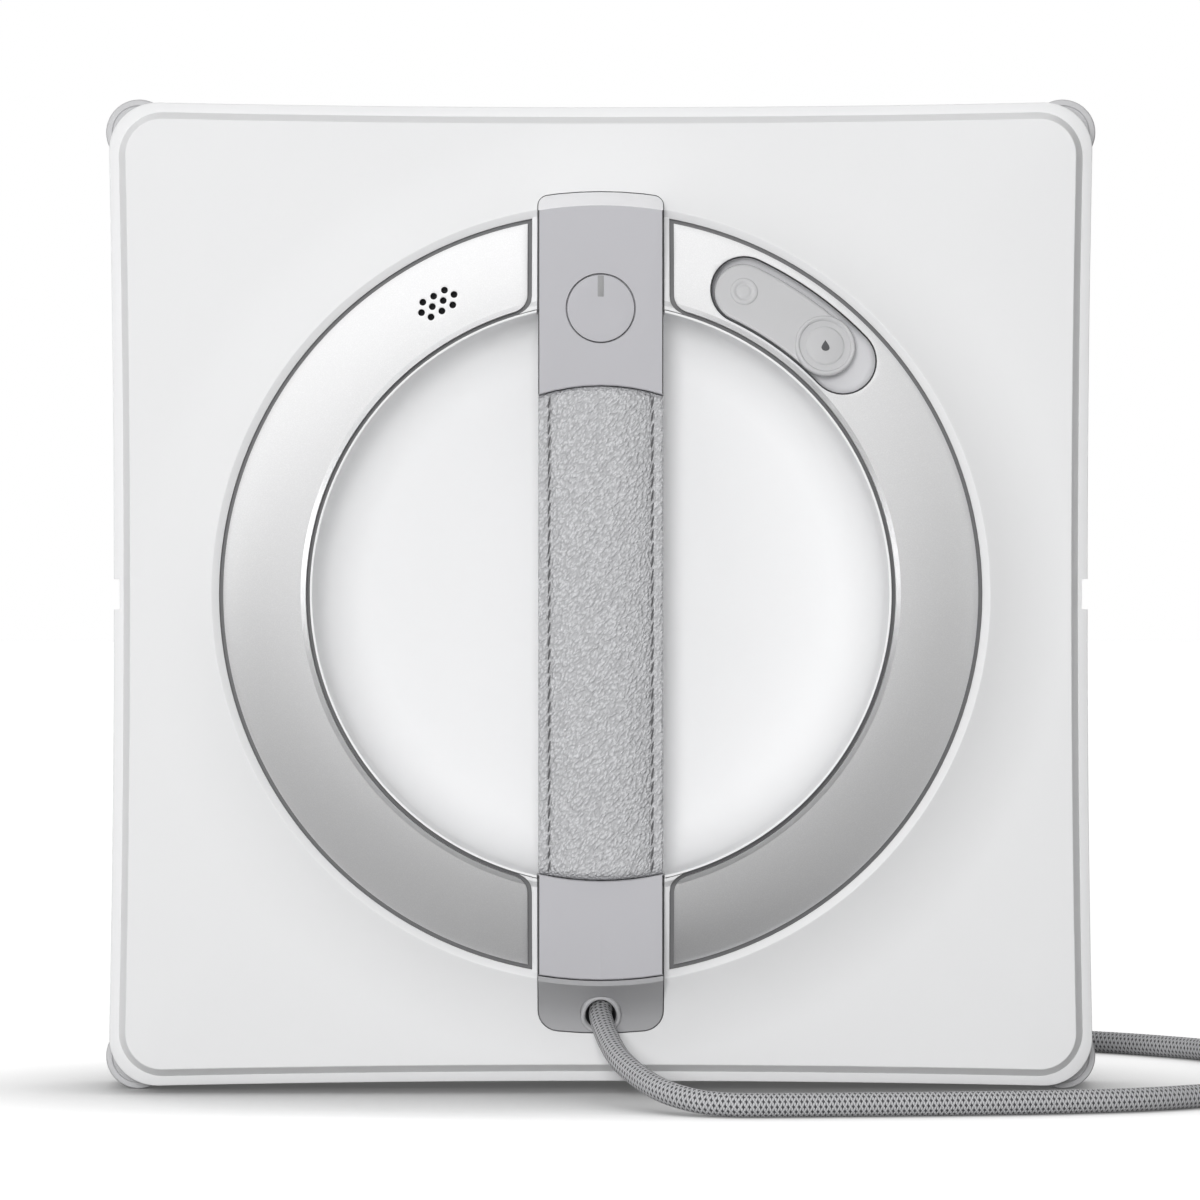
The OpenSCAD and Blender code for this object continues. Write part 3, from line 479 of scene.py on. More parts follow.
def refined(node, width, angle=40):
    """A copy of a CAD node with merged points and rounded edges."""
    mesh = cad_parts[node].data.copy()
    obj = bpy.data.objects.new(node + "_finished", mesh)
    bpy.context.scene.collection.objects.link(obj)
    work = bmesh.new()
    work.from_mesh(mesh)
    bmesh.ops.remove_doubles(work, verts=work.verts, dist=2e-6)
    bmesh.ops.dissolve_limit(work, angle_limit=math.radians(0.6), verts=work.verts, edges=work.edges)
    work.to_mesh(mesh)
    work.free()
    if width:
        soften(obj, width, angle=angle)
    return shade(obj)


# Outlines and surfaces of the body
SIDE_STEPS = 44
CORNER_STEPS = 16


def bowed_square(half, corner, z):
    """Loop of a square with drawn-in sides and round corners."""
    reach = half - corner
    quarter = []
    for i in range(SIDE_STEPS):
        y = reach * (2 * i / SIDE_STEPS - 1)
        quarter.append((half - BOW * (1 - (y / reach) ** 2), y))
    for i in range(CORNER_STEPS):
        a = math.pi / 2 * i / CORNER_STEPS
        quarter.append((reach + corner * math.cos(a), reach + corner * math.sin(a)))
    loop = []
    for c, s in ((1, 0), (0, 1), (-1, 0), (0, -1)):
        loop += [(x * c - y * s, x * s + y * c, z) for x, y in quarter]
    return loop


def trim_height(r):
    width = TRIM_OUT_R - TRIM_IN_R
    u = (r - TRIM_IN_R) / width
    return TRIM_IN_Z - width * (TRIM_SLOPES[0] * u + (TRIM_SLOPES[1] - TRIM_SLOPES[0]) * u * u / 2)


COVE_ARC = ((COVE_R - CREST_R) ** 2 + (CREST_Z - FACE_Z) ** 2) / (2 * (CREST_Z - FACE_Z))
CHANNEL_IN = (HOLE_R, TRIM_TOP_Z - 3.4)
CHANNEL_OUT = (LIP_R, trim_height(TRIM_OUT_R) - 2.4)


def cove_height(r):
    if r >= COVE_R:
        return FACE_Z
    return FACE_Z + COVE_ARC - math.sqrt(COVE_ARC ** 2 - (COVE_R - r) ** 2)


def channel_height(r):
    share = (r - CHANNEL_IN[0]) / (CHANNEL_OUT[0] - CHANNEL_IN[0])
    return CHANNEL_IN[1] + (CHANNEL_OUT[1] - CHANNEL_IN[1]) * share


def stand_loop(loop):
    return [stand(*p) for p in loop]


def slot_loop(half, z, a0=FILLER_A0, a1=FILLER_A1, along=14, ends=20, middle=FILLER_R):
    """Loop of the filler slot, half wide on each side of its middle arc. z is a height or a function."""
    r0, r1 = math.radians(a1), math.radians(a0)
    flat = []
    for i in range(along):
        t = r0 + (r1 - r0) * i / along
        flat.append(((middle + half) * math.cos(t), (middle + half) * math.sin(t)))
    for i in range(ends):
        t = r1 + math.pi * i / ends
        flat.append((middle * math.cos(r1) + half * math.cos(t), middle * math.sin(r1) + half * math.sin(t)))
    for i in range(along):
        t = r1 + (r0 - r1) * i / along
        flat.append(((middle - half) * math.cos(t), (middle - half) * math.sin(t)))
    for i in range(ends):
        t = r0 + math.pi + math.pi * i / ends
        flat.append((middle * math.cos(r0) + half * math.cos(t), middle * math.sin(r0) + half * math.sin(t)))
    return [stand(x, y, z(x, y) if callable(z) else z) for x, y in flat]


def rod(name, x, y, z0, z1, r, steps=48):
    """Plain round cutter along the height axis."""
    return revolve(name, [(r, z0), (r, z1)], lambda u, v, h: stand(x + u, y + v, h), steps)


def in_angle(r, degrees):
    return r * math.cos(math.radians(degrees)), r * math.sin(math.radians(degrees))


# Finishes
def moulded(name, colour, roughness, grain, depth, **fixed):
    """Moulded plastic or rubber: a fine sparked grain, and slow changes of tone and gloss."""
    finish = Finish(name, colour, roughness, **fixed)
    fine = finish.noise(grain, 3)
    slow = finish.noise(14)
    finish.tone(slow, 0.02)
    finish.set("Roughness", roughness - 0.05 + 0.06 * fine + 0.04 * slow)
    finish.relief(fine, depth)
    return finish


def silver_satin():
    """Satin silver paint with a fine flake."""
    finish = Finish("silver_satin", (0.87, 0.87, 0.875), 0.34, 1.0)
    finish.tone(finish.cells(3600), 0.05)
    finish.set("Roughness", 0.38 + 0.08 * finish.noise(700))
    finish.relief(finish.noise(2600), 0.000004)
    return finish


def leather_grey():
    """Pebbled leather: small rounded pebbles, drawn out on the slant, with finer wrinkles between them."""
    finish = Finish("leather_grey", (0.62, 0.623, 0.64), 0.5)
    slant = finish.place(turn=(0, -0.61, 0))
    at = finish.vector("MULTIPLY", slant, (1450, 1000, 880))
    drift = finish.node("ShaderNodeTexNoise", None, {"Vector": at, "Scale": 0.4, "Detail": 2.0}, "Color")
    bent = finish.vector("MULTIPLY_ADD", drift, (1.3, 1.3, 1.3), at)
    pebble = 1 - finish.node("ShaderNodeTexVoronoi", {"feature": "SMOOTH_F1"},
                             {"Vector": bent, "Scale": 1, "Smoothness": 0.25}, "Distance")
    wrinkle = finish.noise(1, 2, finish.vector("MULTIPLY", slant, (2900, 2000, 1300)))
    height = 0.78 * pebble + 0.22 * wrinkle
    # Painted shade and light: the hollows between the pebbles are darker and their tops lighter, standing in
    # for the grain's shading
    finish.tone(finish.step(height, 0.35, 0.75), 0.18)
    finish.set("Roughness", 0.62 - 0.2 * pebble)
    finish.relief(height, 0.0009)
    return finish


def sewing_thread():
    """Twisted thread, with its ply drawn across it."""
    # Painted shade: the thread is near-black, standing in for the shade that the stitches lie in within their
    # channel
    finish = Finish("sewing_thread", (0.12, 0.12, 0.125), 0.75)
    ply = finish.noise(1, 2, finish.place((2600, 2600, 5200), (0, 0.6, 0)))
    finish.tone(ply, 0.35)
    finish.relief(ply, 0.00008)
    return finish


def silicone_clear():
    """Cloudy translucent silicone."""
    finish = Finish("silicone_clear", (0.68, 0.68, 0.69), 0.3, transmission_weight=0.18, ior=1.41)
    cloud = finish.noise(150, 3)
    finish.tone(cloud, 0.02)
    finish.set("Roughness", 0.13 + 0.1 * cloud)
    finish.relief(finish.noise(1100), 0.00001)
    return finish


def clear_tank():
    """Clear moulded plastic with a faint flow in it."""
    finish = Finish("clear_tank", (0.82, 0.9, 0.92), 0.12, transmission_weight=0.85, ior=1.5)
    flow = finish.noise(60, 3)
    finish.tone(flow, 0.03)
    finish.set("Roughness", 0.08 + 0.08 * flow)
    finish.relief(flow, 0.00005)
    return finish


def turned_steel():
    """Steel with fine turning marks round the height axis."""
    finish = Finish("turned_steel", (0.58, 0.58, 0.6), 0.3, 1.0)
    marks = finish.noise(1, 2, finish.place((60, 5200, 60)))
    finish.tone(marks, 0.1)
    finish.set("Roughness", 0.2 + 0.22 * marks)
    finish.relief(marks, 0.00001)
    return finish


def cell_wrap():
    """Shrink wrap over battery cells, with creases."""
    finish = Finish("cell_wrap", (0.05, 0.13, 0.4), 0.3)
    crease = finish.noise(1, 3, finish.place((120, 120, 700)))
    finish.tone(crease, 0.15)
    finish.set("Roughness", 0.2 + 0.2 * crease)
    finish.relief(crease, 0.0001)
    return finish


def board_green():
    """Solder mask with tracks that stand out a little."""
    finish = Finish("board_green", (0.02, 0.16, 0.07), 0.35)
    tracks = finish.step(finish.cells(420, "DISTANCE_TO_EDGE", finish.place((1, 1, 1)), 0.4), 0.05, 0.08)
    finish.tone(1 - tracks, 0.35)
    finish.set("Roughness", 0.28 + 0.15 * tracks)
    finish.relief(1 - tracks, 0.00004)
    return finish


def microfibre():
    """Looped microfibre pile."""
    finish = Finish("microfibre", (0.72, 0.73, 0.74), 0.9, sheen_weight=0.35)
    loops = finish.cells(900)
    clumps = finish.noise(260, 3)
    finish.tone(0.6 * loops + 0.4 * clumps, 0.12)
    finish.set("Roughness", 0.85 + 0.12 * clumps)
    finish.relief(0.7 - 0.5 * loops + 0.5 * clumps, 0.0005)
    return finish


def hook_tape():
    """Hook tape: rows of small stiff hooks."""
    finish = Finish("hook_tape", (0.2, 0.2, 0.21), 0.6)
    hooks = finish.cells(700, "F1", None, 0.25)
    finish.tone(1 - hooks, 0.3)
    finish.set("Roughness", 0.5 + 0.2 * hooks)
    finish.relief(1 - hooks, 0.0005)
    return finish


BRAID_ROWS = 14
BRAID_STEP = 0.0007


def cord_braid():
    """Braided sleeve: two sets of strands that cross, with a dark fleck at every fourth crossing."""
    finish = Finish("cord_braid", (0.42, 0.42, 0.43), 0.6, sheen_weight=0.15)
    uv = finish.node("ShaderNodeUVMap", {"uv_map": "strand"})
    rows = finish.node("ShaderNodeSeparateXYZ", sockets={"Vector": uv}, out="X") * BRAID_ROWS
    steps = finish.node("ShaderNodeSeparateXYZ", sockets={"Vector": uv}, out="Y") / BRAID_STEP
    a, b = rows + steps, rows - steps
    across_a, across_b = finish.math("FRACT", a), finish.math("FRACT", b)
    odd_a = 2 * finish.math("FRACT", 0.5 * finish.math("FLOOR", a))
    odd_b = 2 * finish.math("FRACT", 0.5 * finish.math("FLOOR", b))
    over = finish.math("ABSOLUTE", odd_a - odd_b)
    swell_a = 4 * across_a * (1 - across_a)
    swell_b = 4 * across_b * (1 - across_b)
    strand_a = swell_a * (0.55 + 0.45 * swell_b)
    strand_b = swell_b * (0.55 + 0.45 * swell_a)
    height = strand_b + over * (strand_a - strand_b)
    threads = finish.math("SINE", 19 * (across_b + over * (across_a - across_b)))
    fleck = (1 - odd_a) * (1 - odd_b) * finish.step(height, 0.12, 0.35)
    # Painted shade: each strand darkens towards its edges, where the strands dip under each other
    light = finish.blend(finish.step(height, 0.0, 0.5), (0.13, 0.13, 0.135, 1), (0.6, 0.6, 0.615, 1))
    finish.set("Base Color", finish.blend(fleck, light, (0.055, 0.055, 0.06, 1)))
    finish.set("Roughness", 0.7 - 0.2 * height)
    finish.relief(0.85 * height + 0.08 * threads, 0.00022)
    return finish


def tie_strap():
    """Woven hook-and-loop strap."""
    finish = Finish("tie_strap", (0.035, 0.035, 0.038), 0.8, sheen_weight=0.3)
    weave = finish.noise(1, 1, finish.place((2200, 900, 2200)))
    fuzz = finish.noise(2600, 2)
    finish.tone(weave, 0.4)
    finish.relief(0.6 * weave + 0.4 * fuzz, 0.0003)
    return finish


WHITE = moulded("shell_white", (0.83, 0.832, 0.838), 0.4, 1700, 0.000012)
# Painted light: the bowl's white is a lighter copy of the shell's white, to offset the shade in the deep well
BOWL_WHITE_PAINTED_LIGHT = moulded("bowl_white", (0.89, 0.892, 0.898), 0.45, 1700, 0.000012)
SILVER = silver_satin()
CAP = moulded("cap_grey", (0.505, 0.502, 0.527), 0.38, 2200, 0.00001)
# Painted shade: near-black for the handle's side chamfers and the walls round the power button, standing in
# for the shadow lines there
EDGE_PAINTED_SHADE = moulded("edge_grey", (0.06, 0.06, 0.063), 0.5, 2200, 0.00001)
# Painted light: a lighter copy of the cap's grey for its upward-facing nose, standing in for the light from
# above
CAP_NOSE_PAINTED_LIGHT = moulded("cap_nose_grey", (0.93, 0.928, 0.945), 0.38, 2200, 0.00001)
OUTLET = moulded("outlet_grey", (0.39, 0.39, 0.4), 0.42, 2200, 0.000012)
GROMMET = moulded("grommet_grey", (0.5, 0.5, 0.51), 0.35, 1800, 0.00001)
LEATHER = leather_grey()
THREAD = sewing_thread()
SILICONE = silicone_clear()
# Painted shade: dark grey for the faces in narrow gaps, standing in for the shadow that falls in them
GAP_PAINTED_SHADE = moulded("gap_grey", (0.23, 0.23, 0.235), 0.6, 1500, 0.00001)
TRAY = moulded("tray_grey", (0.66, 0.66, 0.675), 0.35, 1500, 0.00001)
# Dark moulding, which also serves as painted shade: the tray's rim gap and the sheet inside the grommet
DARK = moulded("dark_moulding", (0.035, 0.035, 0.038), 0.5, 1500, 0.00003)
DROP_INK = moulded("drop_ink", (0.09, 0.09, 0.095), 0.5, 2000, 0.00001)
LIGHT_BAR = moulded("light_bar", (0.33, 0.33, 0.335), 0.3, 1500, 0.000005)
TANK = clear_tank()
STEEL = turned_steel()
CELLS = cell_wrap()
BOARD = board_green()
GEAR = moulded("gear_cream", (0.7, 0.64, 0.5), 0.4, 1200, 0.00002)
WHEEL = moulded("wheel_grey", (0.3, 0.3, 0.31), 0.5, 1200, 0.00003)
RUBBER = moulded("track_rubber", (0.03, 0.03, 0.032), 0.75, 900, 0.00006)
TYRE = moulded("tyre_grey", (0.6, 0.6, 0.61), 0.6, 1100, 0.00004)
FIBRE = microfibre()
HOOKS = hook_tape()
BASE = moulded("base_grey", (0.56, 0.565, 0.575), 0.5, 1300, 0.00003)
BRAID = cord_braid()
STRAP = tie_strap()


# Tether cord: out of the grommet, round the right side and back to a tied coil behind the body (row frame)
CORD_ROUTE = [
    (0, -15.9, 24.6), (0, -18.5, 23.1), (0, -21.1, 21.6), (1.6, -30, 17.2), (5, -43, 12.2), (10.6, -55, 8.2),
    (17, -65, 5.5), (25, -72, 3.8), (33, -75, 3.2), (42, -75.5, 3.1), (67, -73.5, 3.1), (100, -70, 3.1),
    (124, -65.5, 3.1), (141, -60, 3.1), (157, -50.5, 3.1), (171, -38, 3.1), (183, -20, 3.1), (190, 0, 3.1),
    (193, 22, 3.1), (192, 44, 3.1), (187, 66, 3.1), (176, 88, 3.1), (163, 103, 3.1), (147, 116.5, 3.1),
    (120, 133, 3.1), (90, 146, 3.3), (60, 155.5, 3.8), (38, 159.2, 4.2), (26, 159.5, 4.2), (21, 159.5, 4.2),
    (16.2, 159.5, 4.2)]
TAIL_ROUTE = [
    (16.2, 52.5, 24.45), (19, 52.5, 24.45), (22, 52.5, 24.45), (30, 52.5, 22.6), (40, 52.5, 17),
    (50, 52.5, 10.8), (59, 52.5, 7.2), (67, 52.5, 6), (71, 52.5, 6), (75, 52.5, 6)]
CORD_SIDES = 20
COIL_RINGS = 60
ROUTE_STEPS = 6
TIE_W = 8
TIE_T = 1
CONNECTOR_AT = Vector(TAIL_ROUTE[-1])


def route_points(points):
    """A smooth curve through listed points."""
    made = []
    for i in range(len(points) - 1):
        a, b, c, d = (Vector(points[max(0, min(k, len(points) - 1))]) for k in range(i - 1, i + 3))
        for step in range(ROUTE_STEPS):
            t = step / ROUTE_STEPS
            made.append(b + 0.5 * t * (c - a + t * (2 * a - 5 * b + 4 * c - d + t * (3 * (b - c) + d - a))))
    return made


def coil_point(tau):
    """A point of the coil after tau turns: layers spiral in or out, and half a turn climbs to the next."""
    layer = min(COIL_LAYERS - 1, math.floor(tau / (COIL_TURNS + 0.5) + 0.01))
    u = tau - layer * (COIL_TURNS + 0.5)
    climb = max(0, 2 * (u - COIL_TURNS))
    shift = TURN_STEP * (min(u, COIL_TURNS) + min(climb, 1 - climb) / 2)
    r = COIL_R - shift if layer % 2 == 0 else COIL_R - COIL_TURNS * TURN_STEP + shift
    a = math.radians(90 + 360 * tau)
    height = COIL_Z + TURN_STEP * (layer + climb)
    return Vector((COIL_C[0] + r * math.cos(a), COIL_C[1] + r * math.sin(a), height))


def cord_path():
    turns = COIL_LAYERS * COIL_TURNS + (COIL_LAYERS - 1) / 2
    coil = [coil_point(k / COIL_RINGS) for k in range(round(turns * COIL_RINGS) + 1)]
    return [p * MM for p in route_points(CORD_ROUTE) + coil + route_points(TAIL_ROUTE) + [CONNECTOR_AT]]


def strand_tube(name, path, radius):
    """Tube along a path. Its UV map holds the share of a turn and the length along the tube, in metres."""
    across = Vector((1, 0, 0))
    points, rings, length = [], [], 0
    for i, p in enumerate(path):
        tangent = (path[min(i + 1, len(path) - 1)] - path[max(i - 1, 0)]).normalized()
        across = (across - tangent * across.dot(tangent)).normalized()
        up = tangent.cross(across)
        length += (p - path[i - 1]).length if i else 0
        rings.append(length)
        for k in range(CORD_SIDES):
            t = 2 * math.pi * k / CORD_SIDES
            points.append(p + radius * (across * math.cos(t) + up * math.sin(t)))
    faces, places = [], []
    for i in range(len(path) - 1):
        for k in range(CORD_SIDES):
            j = (k + 1) % CORD_SIDES
            a, b = i * CORD_SIDES, (i + 1) * CORD_SIDES
            faces.append((a + k, a + j, b + j, b + k))
            places += [(k, rings[i]), (k + 1, rings[i]), (k + 1, rings[i + 1]), (k, rings[i + 1])]
    last = (len(path) - 1) * CORD_SIDES
    faces += [tuple(range(CORD_SIDES - 1, -1, -1)), tuple(range(last, last + CORD_SIDES))]
    places += [(0, 0)] * CORD_SIDES + [(0, length)] * CORD_SIDES
    obj = new_object(name, points, faces)
    strand = obj.data.uv_layers.new(name="strand")
    strand.data.foreach_set("uv", [c for k, v in places for c in (k / CORD_SIDES, v)])
    return shade(obj, 60)


def tie_shell():
    """Strap round one side of the coil, with a lapped end on top."""
    inner = COIL_R - COIL_TURNS * TURN_STEP - TURN_STEP / 4 - CORD_D / 2 - 0.4
    x0, x1 = COIL_C[0] - COIL_R - CORD_D / 2 - 0.4, COIL_C[0] - inner
    top = COIL_Z + (COIL_LAYERS - 1) * TURN_STEP + CORD_D / 2 + 0.3
    corners = [(x0, TIE_T), (x1, TIE_T), (x1, top), (x0, top)]
    grown = [(x0 - TIE_T, 0), (x1 + TIE_T, 0), (x1 + TIE_T, top + TIE_T), (x0 - TIE_T, top + TIE_T)]
    inside = rounded(corners, {k: 2.5 for k in range(4)}, 8, True)
    outside = rounded(grown, {k: 3.5 for k in range(4)}, 8, True)
    y0, y1 = COIL_C[1] - TIE_W / 2, COIL_C[1] + TIE_W / 2
    lanes = [(y0, outside), (y1, outside), (y1, inside), (y0, inside)]
    strap = loft("cord_tie_strap", [[Vector((x, y, z)) * MM for x, z in loop] for y, loop in lanes], True)
    lap_low, lap_top = top + TIE_T, top + 1.9 * TIE_T
    lap = [(x0 + 5, lap_low), (x0 + 25, lap_low), (x0 + 25, lap_top), (x0 + 5, lap_top)]
    lap = rounded(lap, {2: 0.5, 3: 0.5}, 3, True)
    reach = TIE_W / 2 - 0.3
    end = loft("lap", [[Vector((x, COIL_C[1] + s * reach, z)) * MM for x, z in lap] for s in (-1, 1)])
    return shade(soften(joined(strap, end), 0.25, angle=50))


def connector_shell():
    """Barrel connector: a ribbed strain relief, a ridged sleeve and a hollow end with a pin in it."""
    profile = [(3.2, 0), (4.2, 0), (4.7, 0.5)]
    for k in range(3):
        h = 1.1 + 0.9 * k
        profile += [(4.7, h), (4.3, h + 0.2), (4.3, h + 0.45), (4.7, h + 0.65)]
    profile += [(5, 4), (5.6, 4), (6, 4.5), (6, 8)]
    for k in range(7):
        h = 9 + 2 * k
        profile += [(6, h), (5.6, h + 0.35), (5.6, h + 0.75), (6, h + 1.1)]
    profile += [(6, 27.4), (5.5, 28), (5, 28), (5, 37.4), (4.5, 38), (3.9, 38), (3.6, 37.6), (3.6, 30)]
    profile += [(1.2, 30), (1.2, 36.5), (0.8, 37)]
    return shade(revolve("connector_barrel", profile,
                         lambda u, v, h: (CONNECTOR_AT + Vector((h, u, v))) * MM, 48))


CORD_PATH = cord_path()
connector = put(connector_shell(), DARK, "chassis", "dark_plastic", "cord_connector")
tie = put(tie_shell(), STRAP, "chassis", "tie_black", "cord_tie")
cord = strand_tube("tether_cord", CORD_PATH, CORD_D / 2 * MM)
put(cord, BRAID, "chassis", "cord_braid", "cord_run", "cord_coil", "cord_tail")
tuple(CORD_PATH[0])
[tuple(p) for p in CORD_PATH]


# Body shells
def outer_frame_shell():
    """Ring-shaped frame: wall, ledge, roller pockets at its corners and a notch in each side."""
    rings = [(FRAME_HALF - FRAME_WALL, BASE_TOP), (FRAME_HALF - FRAME_WALL, LEDGE_Z - FLANGE_T),
             (FRAME_HALF - FLANGE_W, LEDGE_Z - FLANGE_T), (FRAME_HALF - FLANGE_W, LEDGE_Z)]
    rings += rounded([(FRAME_HALF - FLANGE_W, LEDGE_Z), (FRAME_HALF - LEDGE_W, LEDGE_Z),
                      (FRAME_HALF, LEDGE_Z - LEDGE_FALL), (FRAME_HALF, BASE_TOP),
                      (FRAME_HALF - FRAME_WALL, BASE_TOP)], {2: 0.4, 3: 0.6}, 5)[1:-1]
    loops = []
    for half, z in rings:
        corner = FRAME_CORNER - min(FRAME_HALF - half, FRAME_WALL)
        loops.append(stand_loop(bowed_square(half, corner, z)))
    obj = loft("outer_frame_shell", loops, True)
    edge = [stand_loop(bowed_square(FRAME_HALF - 0.4, FRAME_CORNER - 0.4, z))
            for z in (BASE_TOP, POCKET_ROOF + POCKET_WALL)]
    for sx in (-1, 1):
        for sy in (-1, 1):
            x, y = sx * ROLLER_AT, sy * ROLLER_AT
            wall = rod("pocket", x, y, BASE_TOP, POCKET_ROOF + POCKET_WALL, POCKET_R + POCKET_WALL)
            combine(obj, combine(wall, loft("edge", edge), "INTERSECT"), "UNION")
            combine(obj, rod("room", x, y, BASE_TOP - 1, POCKET_ROOF, POCKET_R), "DIFFERENCE")
    for s in (-1, 1):
        x0, x1 = sorted((s * (FRAME_HALF - BOW - NOTCH_D), s * 150))
        notch = box_shell("notch", (x0, -NOTCH_H / 2, 0), (x1, NOTCH_H / 2, LEDGE_Z + 1))
        combine(obj, notch, "DIFFERENCE")
        hole = revolve("nozzle_hole", [(3.1, FRAME_HALF - 15), (3.1, FRAME_HALF + 5)],
                       lambda u, v, h: stand(s * h, u, NOZZLE_Z + v), 32)
        combine(obj, hole, "DIFFERENCE")
    return shade(soften(obj, 0.25, angle=50))


def circle_loop(r, z):
    """Loop on a circle, at the angles of the face's outline, so that the two can be joined."""
    loop = []
    for x, y, _ in bowed_square(COVER_HALF, COVER_CORNER, 0):
        reach = r / math.hypot(x, y)
        loop.append((x * reach, y * reach, z))
    return loop


def ring_surface(r):
    """Height of the trims' surface, with the bevel at its inner edge."""
    if r >= TRIM_IN_R:
        return trim_height(min(r, TRIM_OUT_R))
    return TRIM_TOP_Z - (TRIM_TOP_Z - TRIM_IN_Z) * max(0, r - TRIM_TOP_R) / (TRIM_IN_R - TRIM_TOP_R)


def seat_height(r):
    """Height of the ring's surface under the handle's ends."""
    if r <= LIP_R:
        return ring_surface(r)
    if r <= CREST_R:
        return LIP_Z + (CREST_Z - LIP_Z) * (r - LIP_R) / (CREST_R - LIP_R)
    return cove_height(r)


def cap_outline(r0, r1, corner, s, grow=0.0):
    """Outline across the handle's end between two circles. s is 1 for the upper end, -1 for the lower."""
    half = HANDLE_W / 2 + grow
    r0, r1 = r0 - grow, r1 + grow
    inner = [half * (k / 4 - 1) for k in range(9)]
    outer = [half * (1 - k / 3) for k in range(7)]
    points = [(x, math.sqrt(r0 * r0 - x * x)) for x in inner]
    points += [(x, math.sqrt(r1 * r1 - x * x)) for x in outer]
    corners = {len(inner): corner + grow, len(points) - 1: corner + grow} if corner else {}
    return [(x, s * y) for x, y in rounded(points, corners, 7, True)]


def cap_solid(name, outline, profile, inset=None):
    """The part of a turned ring, given by its (radius, height) profile, that lies inside an outline. With an
    inset outline, the edge at the handle's height is chamfered towards it."""
    levels = [(outline, 30), (outline, CAP_Z - EDGE_EASE), (inset, CAP_Z + EDGE_EASE), (inset, 90)]
    if not inset:
        levels = [(outline, 30), (outline, 90)]
    prism = loft(name, [[stand(x, y, z) for x, y in loop] for loop, z in levels])
    return combine(prism, revolve("turned", profile, steps=240, wrap=True), "INTERSECT")


SEAT_RADII = (SEAT_IN_R, TRIM_TOP_R, TRIM_IN_R, 85, 90, 95, 98, TRIM_OUT_R, LIP_R, CREST_R, 106, NOSE_END_R,
              111, 114, 118.8)


def seat_line(sink, r0, r1):
    """The ring's surface between two radii as (radius, height) points, lowered by sink."""
    return [(r, seat_height(r) - sink) for r in SEAT_RADII if r0 <= r <= r1]


def seat_groove(s):
    """Cutter of the recess that one end of the handle stands in, a little wider than the handle."""
    end, corner = (CAP_OUT_R, CAP_CORNER) if s > 0 else (OUTLET_OUT_R, OUTLET_CORNER)
    line = [(77, seat_height(SEAT_IN_R) - SEAT_DEPTH)] + seat_line(SEAT_DEPTH, SEAT_IN_R, 120)
    outline = cap_outline(70, end, corner, s, SEAT_GAP)
    return cap_solid("groove", outline, [(77, 85)] + line + [(line[-1][0], 85)])


def land_half(r):
    """Half the width of a land at radius r. It follows the end of the trim beside it."""
    beside = max(TRIM_TOP_R, r + 0.75)
    return beside * math.cos(trim_end_angle(beside)) - (TRIM_END_X - LAND_X)


def land_shell(s):
    """Bridge of the cover across its channel, under one end of the handle."""
    near = [HOLE_R + (TRIM_IN_R - HOLE_R) * k / 8 for k in range(9)]
    radii = near + [TRIM_IN_R + (LIP_R + 0.6 - TRIM_IN_R) * k / 14 for k in range(1, 15)]
    rows = [[(land_half(r) * (k / 6 - 1), r) for k in range(13)] for r in radii]
    top = [[stand(x, s * math.sqrt(r * r - x * x), ring_surface(r)) for x, r in row] for row in rows]
    low = [[stand(x, s * math.sqrt(r * r - x * x), channel_height(r) - 1) for x, r in row] for row in rows]
    land = soften(slab("land", top, low), 0.14, angle=50)
    return combine(land, seat_groove(s), "DIFFERENCE")


def grommet_place(u, v, h):
    """A point of the grommet, whose axis leans down the face."""
    c, s = math.cos(GROMMET_TILT), math.sin(GROMMET_TILT)
    v *= GROMMET_ARCH if v > 0 else 1
    return stand(u, GROMMET_Y + v * c - h * s, GROMMET_Z + v * s + h * c)


def top_cover_shell():
    """Cover: sloped edge, flat face, cove up to the ring's crest, lip, and the channel under the trims."""
    ring = [(HOLE_R, CHANNEL_IN[1] - SHELL), CHANNEL_IN, CHANNEL_OUT, (LIP_R, LIP_Z), (CREST_R, CREST_Z)]
    ring = rounded(ring + [(CREST_R + 3, cove_height(CREST_R + 3))], {3: 0.3, 4: 0.35}, 4)[:-1]
    cove = [CREST_R + 1.4 + (COVE_R - CREST_R - 1.4) * k / 16 for k in range(17)]
    loops = [circle_loop(r, z) for r, z in ring + [(r, cove_height(r)) for r in cove]]
    face_half = COVER_HALF - SLOPE_W
    edge = rounded([(face_half - 3, FACE_Z), (face_half, FACE_Z), (COVER_HALF, LEDGE_Z)], {1: 0.45}, 5)
    edge += [(COVER_HALF - SHELL, LEDGE_Z), (face_half - SHELL, FACE_Z - SHELL)]
    for half, z in edge[1:]:
        loops.append(bowed_square(half, max(6, COVER_CORNER - (COVER_HALF - half)), z))
    loops += [circle_loop(CREST_R + 1.6, FACE_Z - SHELL), circle_loop(LIP_R + 0.6, CHANNEL_OUT[1] - SHELL)]
    obj = loft("top_cover_shell", [stand_loop(loop) for loop in loops], True)
    combine(obj, loft("slot", [slot_loop(SLOT_HALF, 40), slot_loop(SLOT_HALF, 80)]), "DIFFERENCE")
    combine(obj, rod("speaker_hole", *in_angle(SPEAKER_R, SPEAKER_A), 40, 80, 7), "DIFFERENCE")
    combine(obj, revolve("cord_hole", [(GROMMET_R, -30), (GROMMET_R, 30)], grommet_place, 48), "DIFFERENCE")
    for s in (1, -1):
        combine(obj, seat_groove(s), "DIFFERENCE")
    land = combine(land_shell(1), rod("button_room", 0, BUTTON_Y, 60.5, 80, BUTTON_R + 1.3, 96), "DIFFERENCE")
    return shade(joined(obj, land, land_shell(-1)), 36)


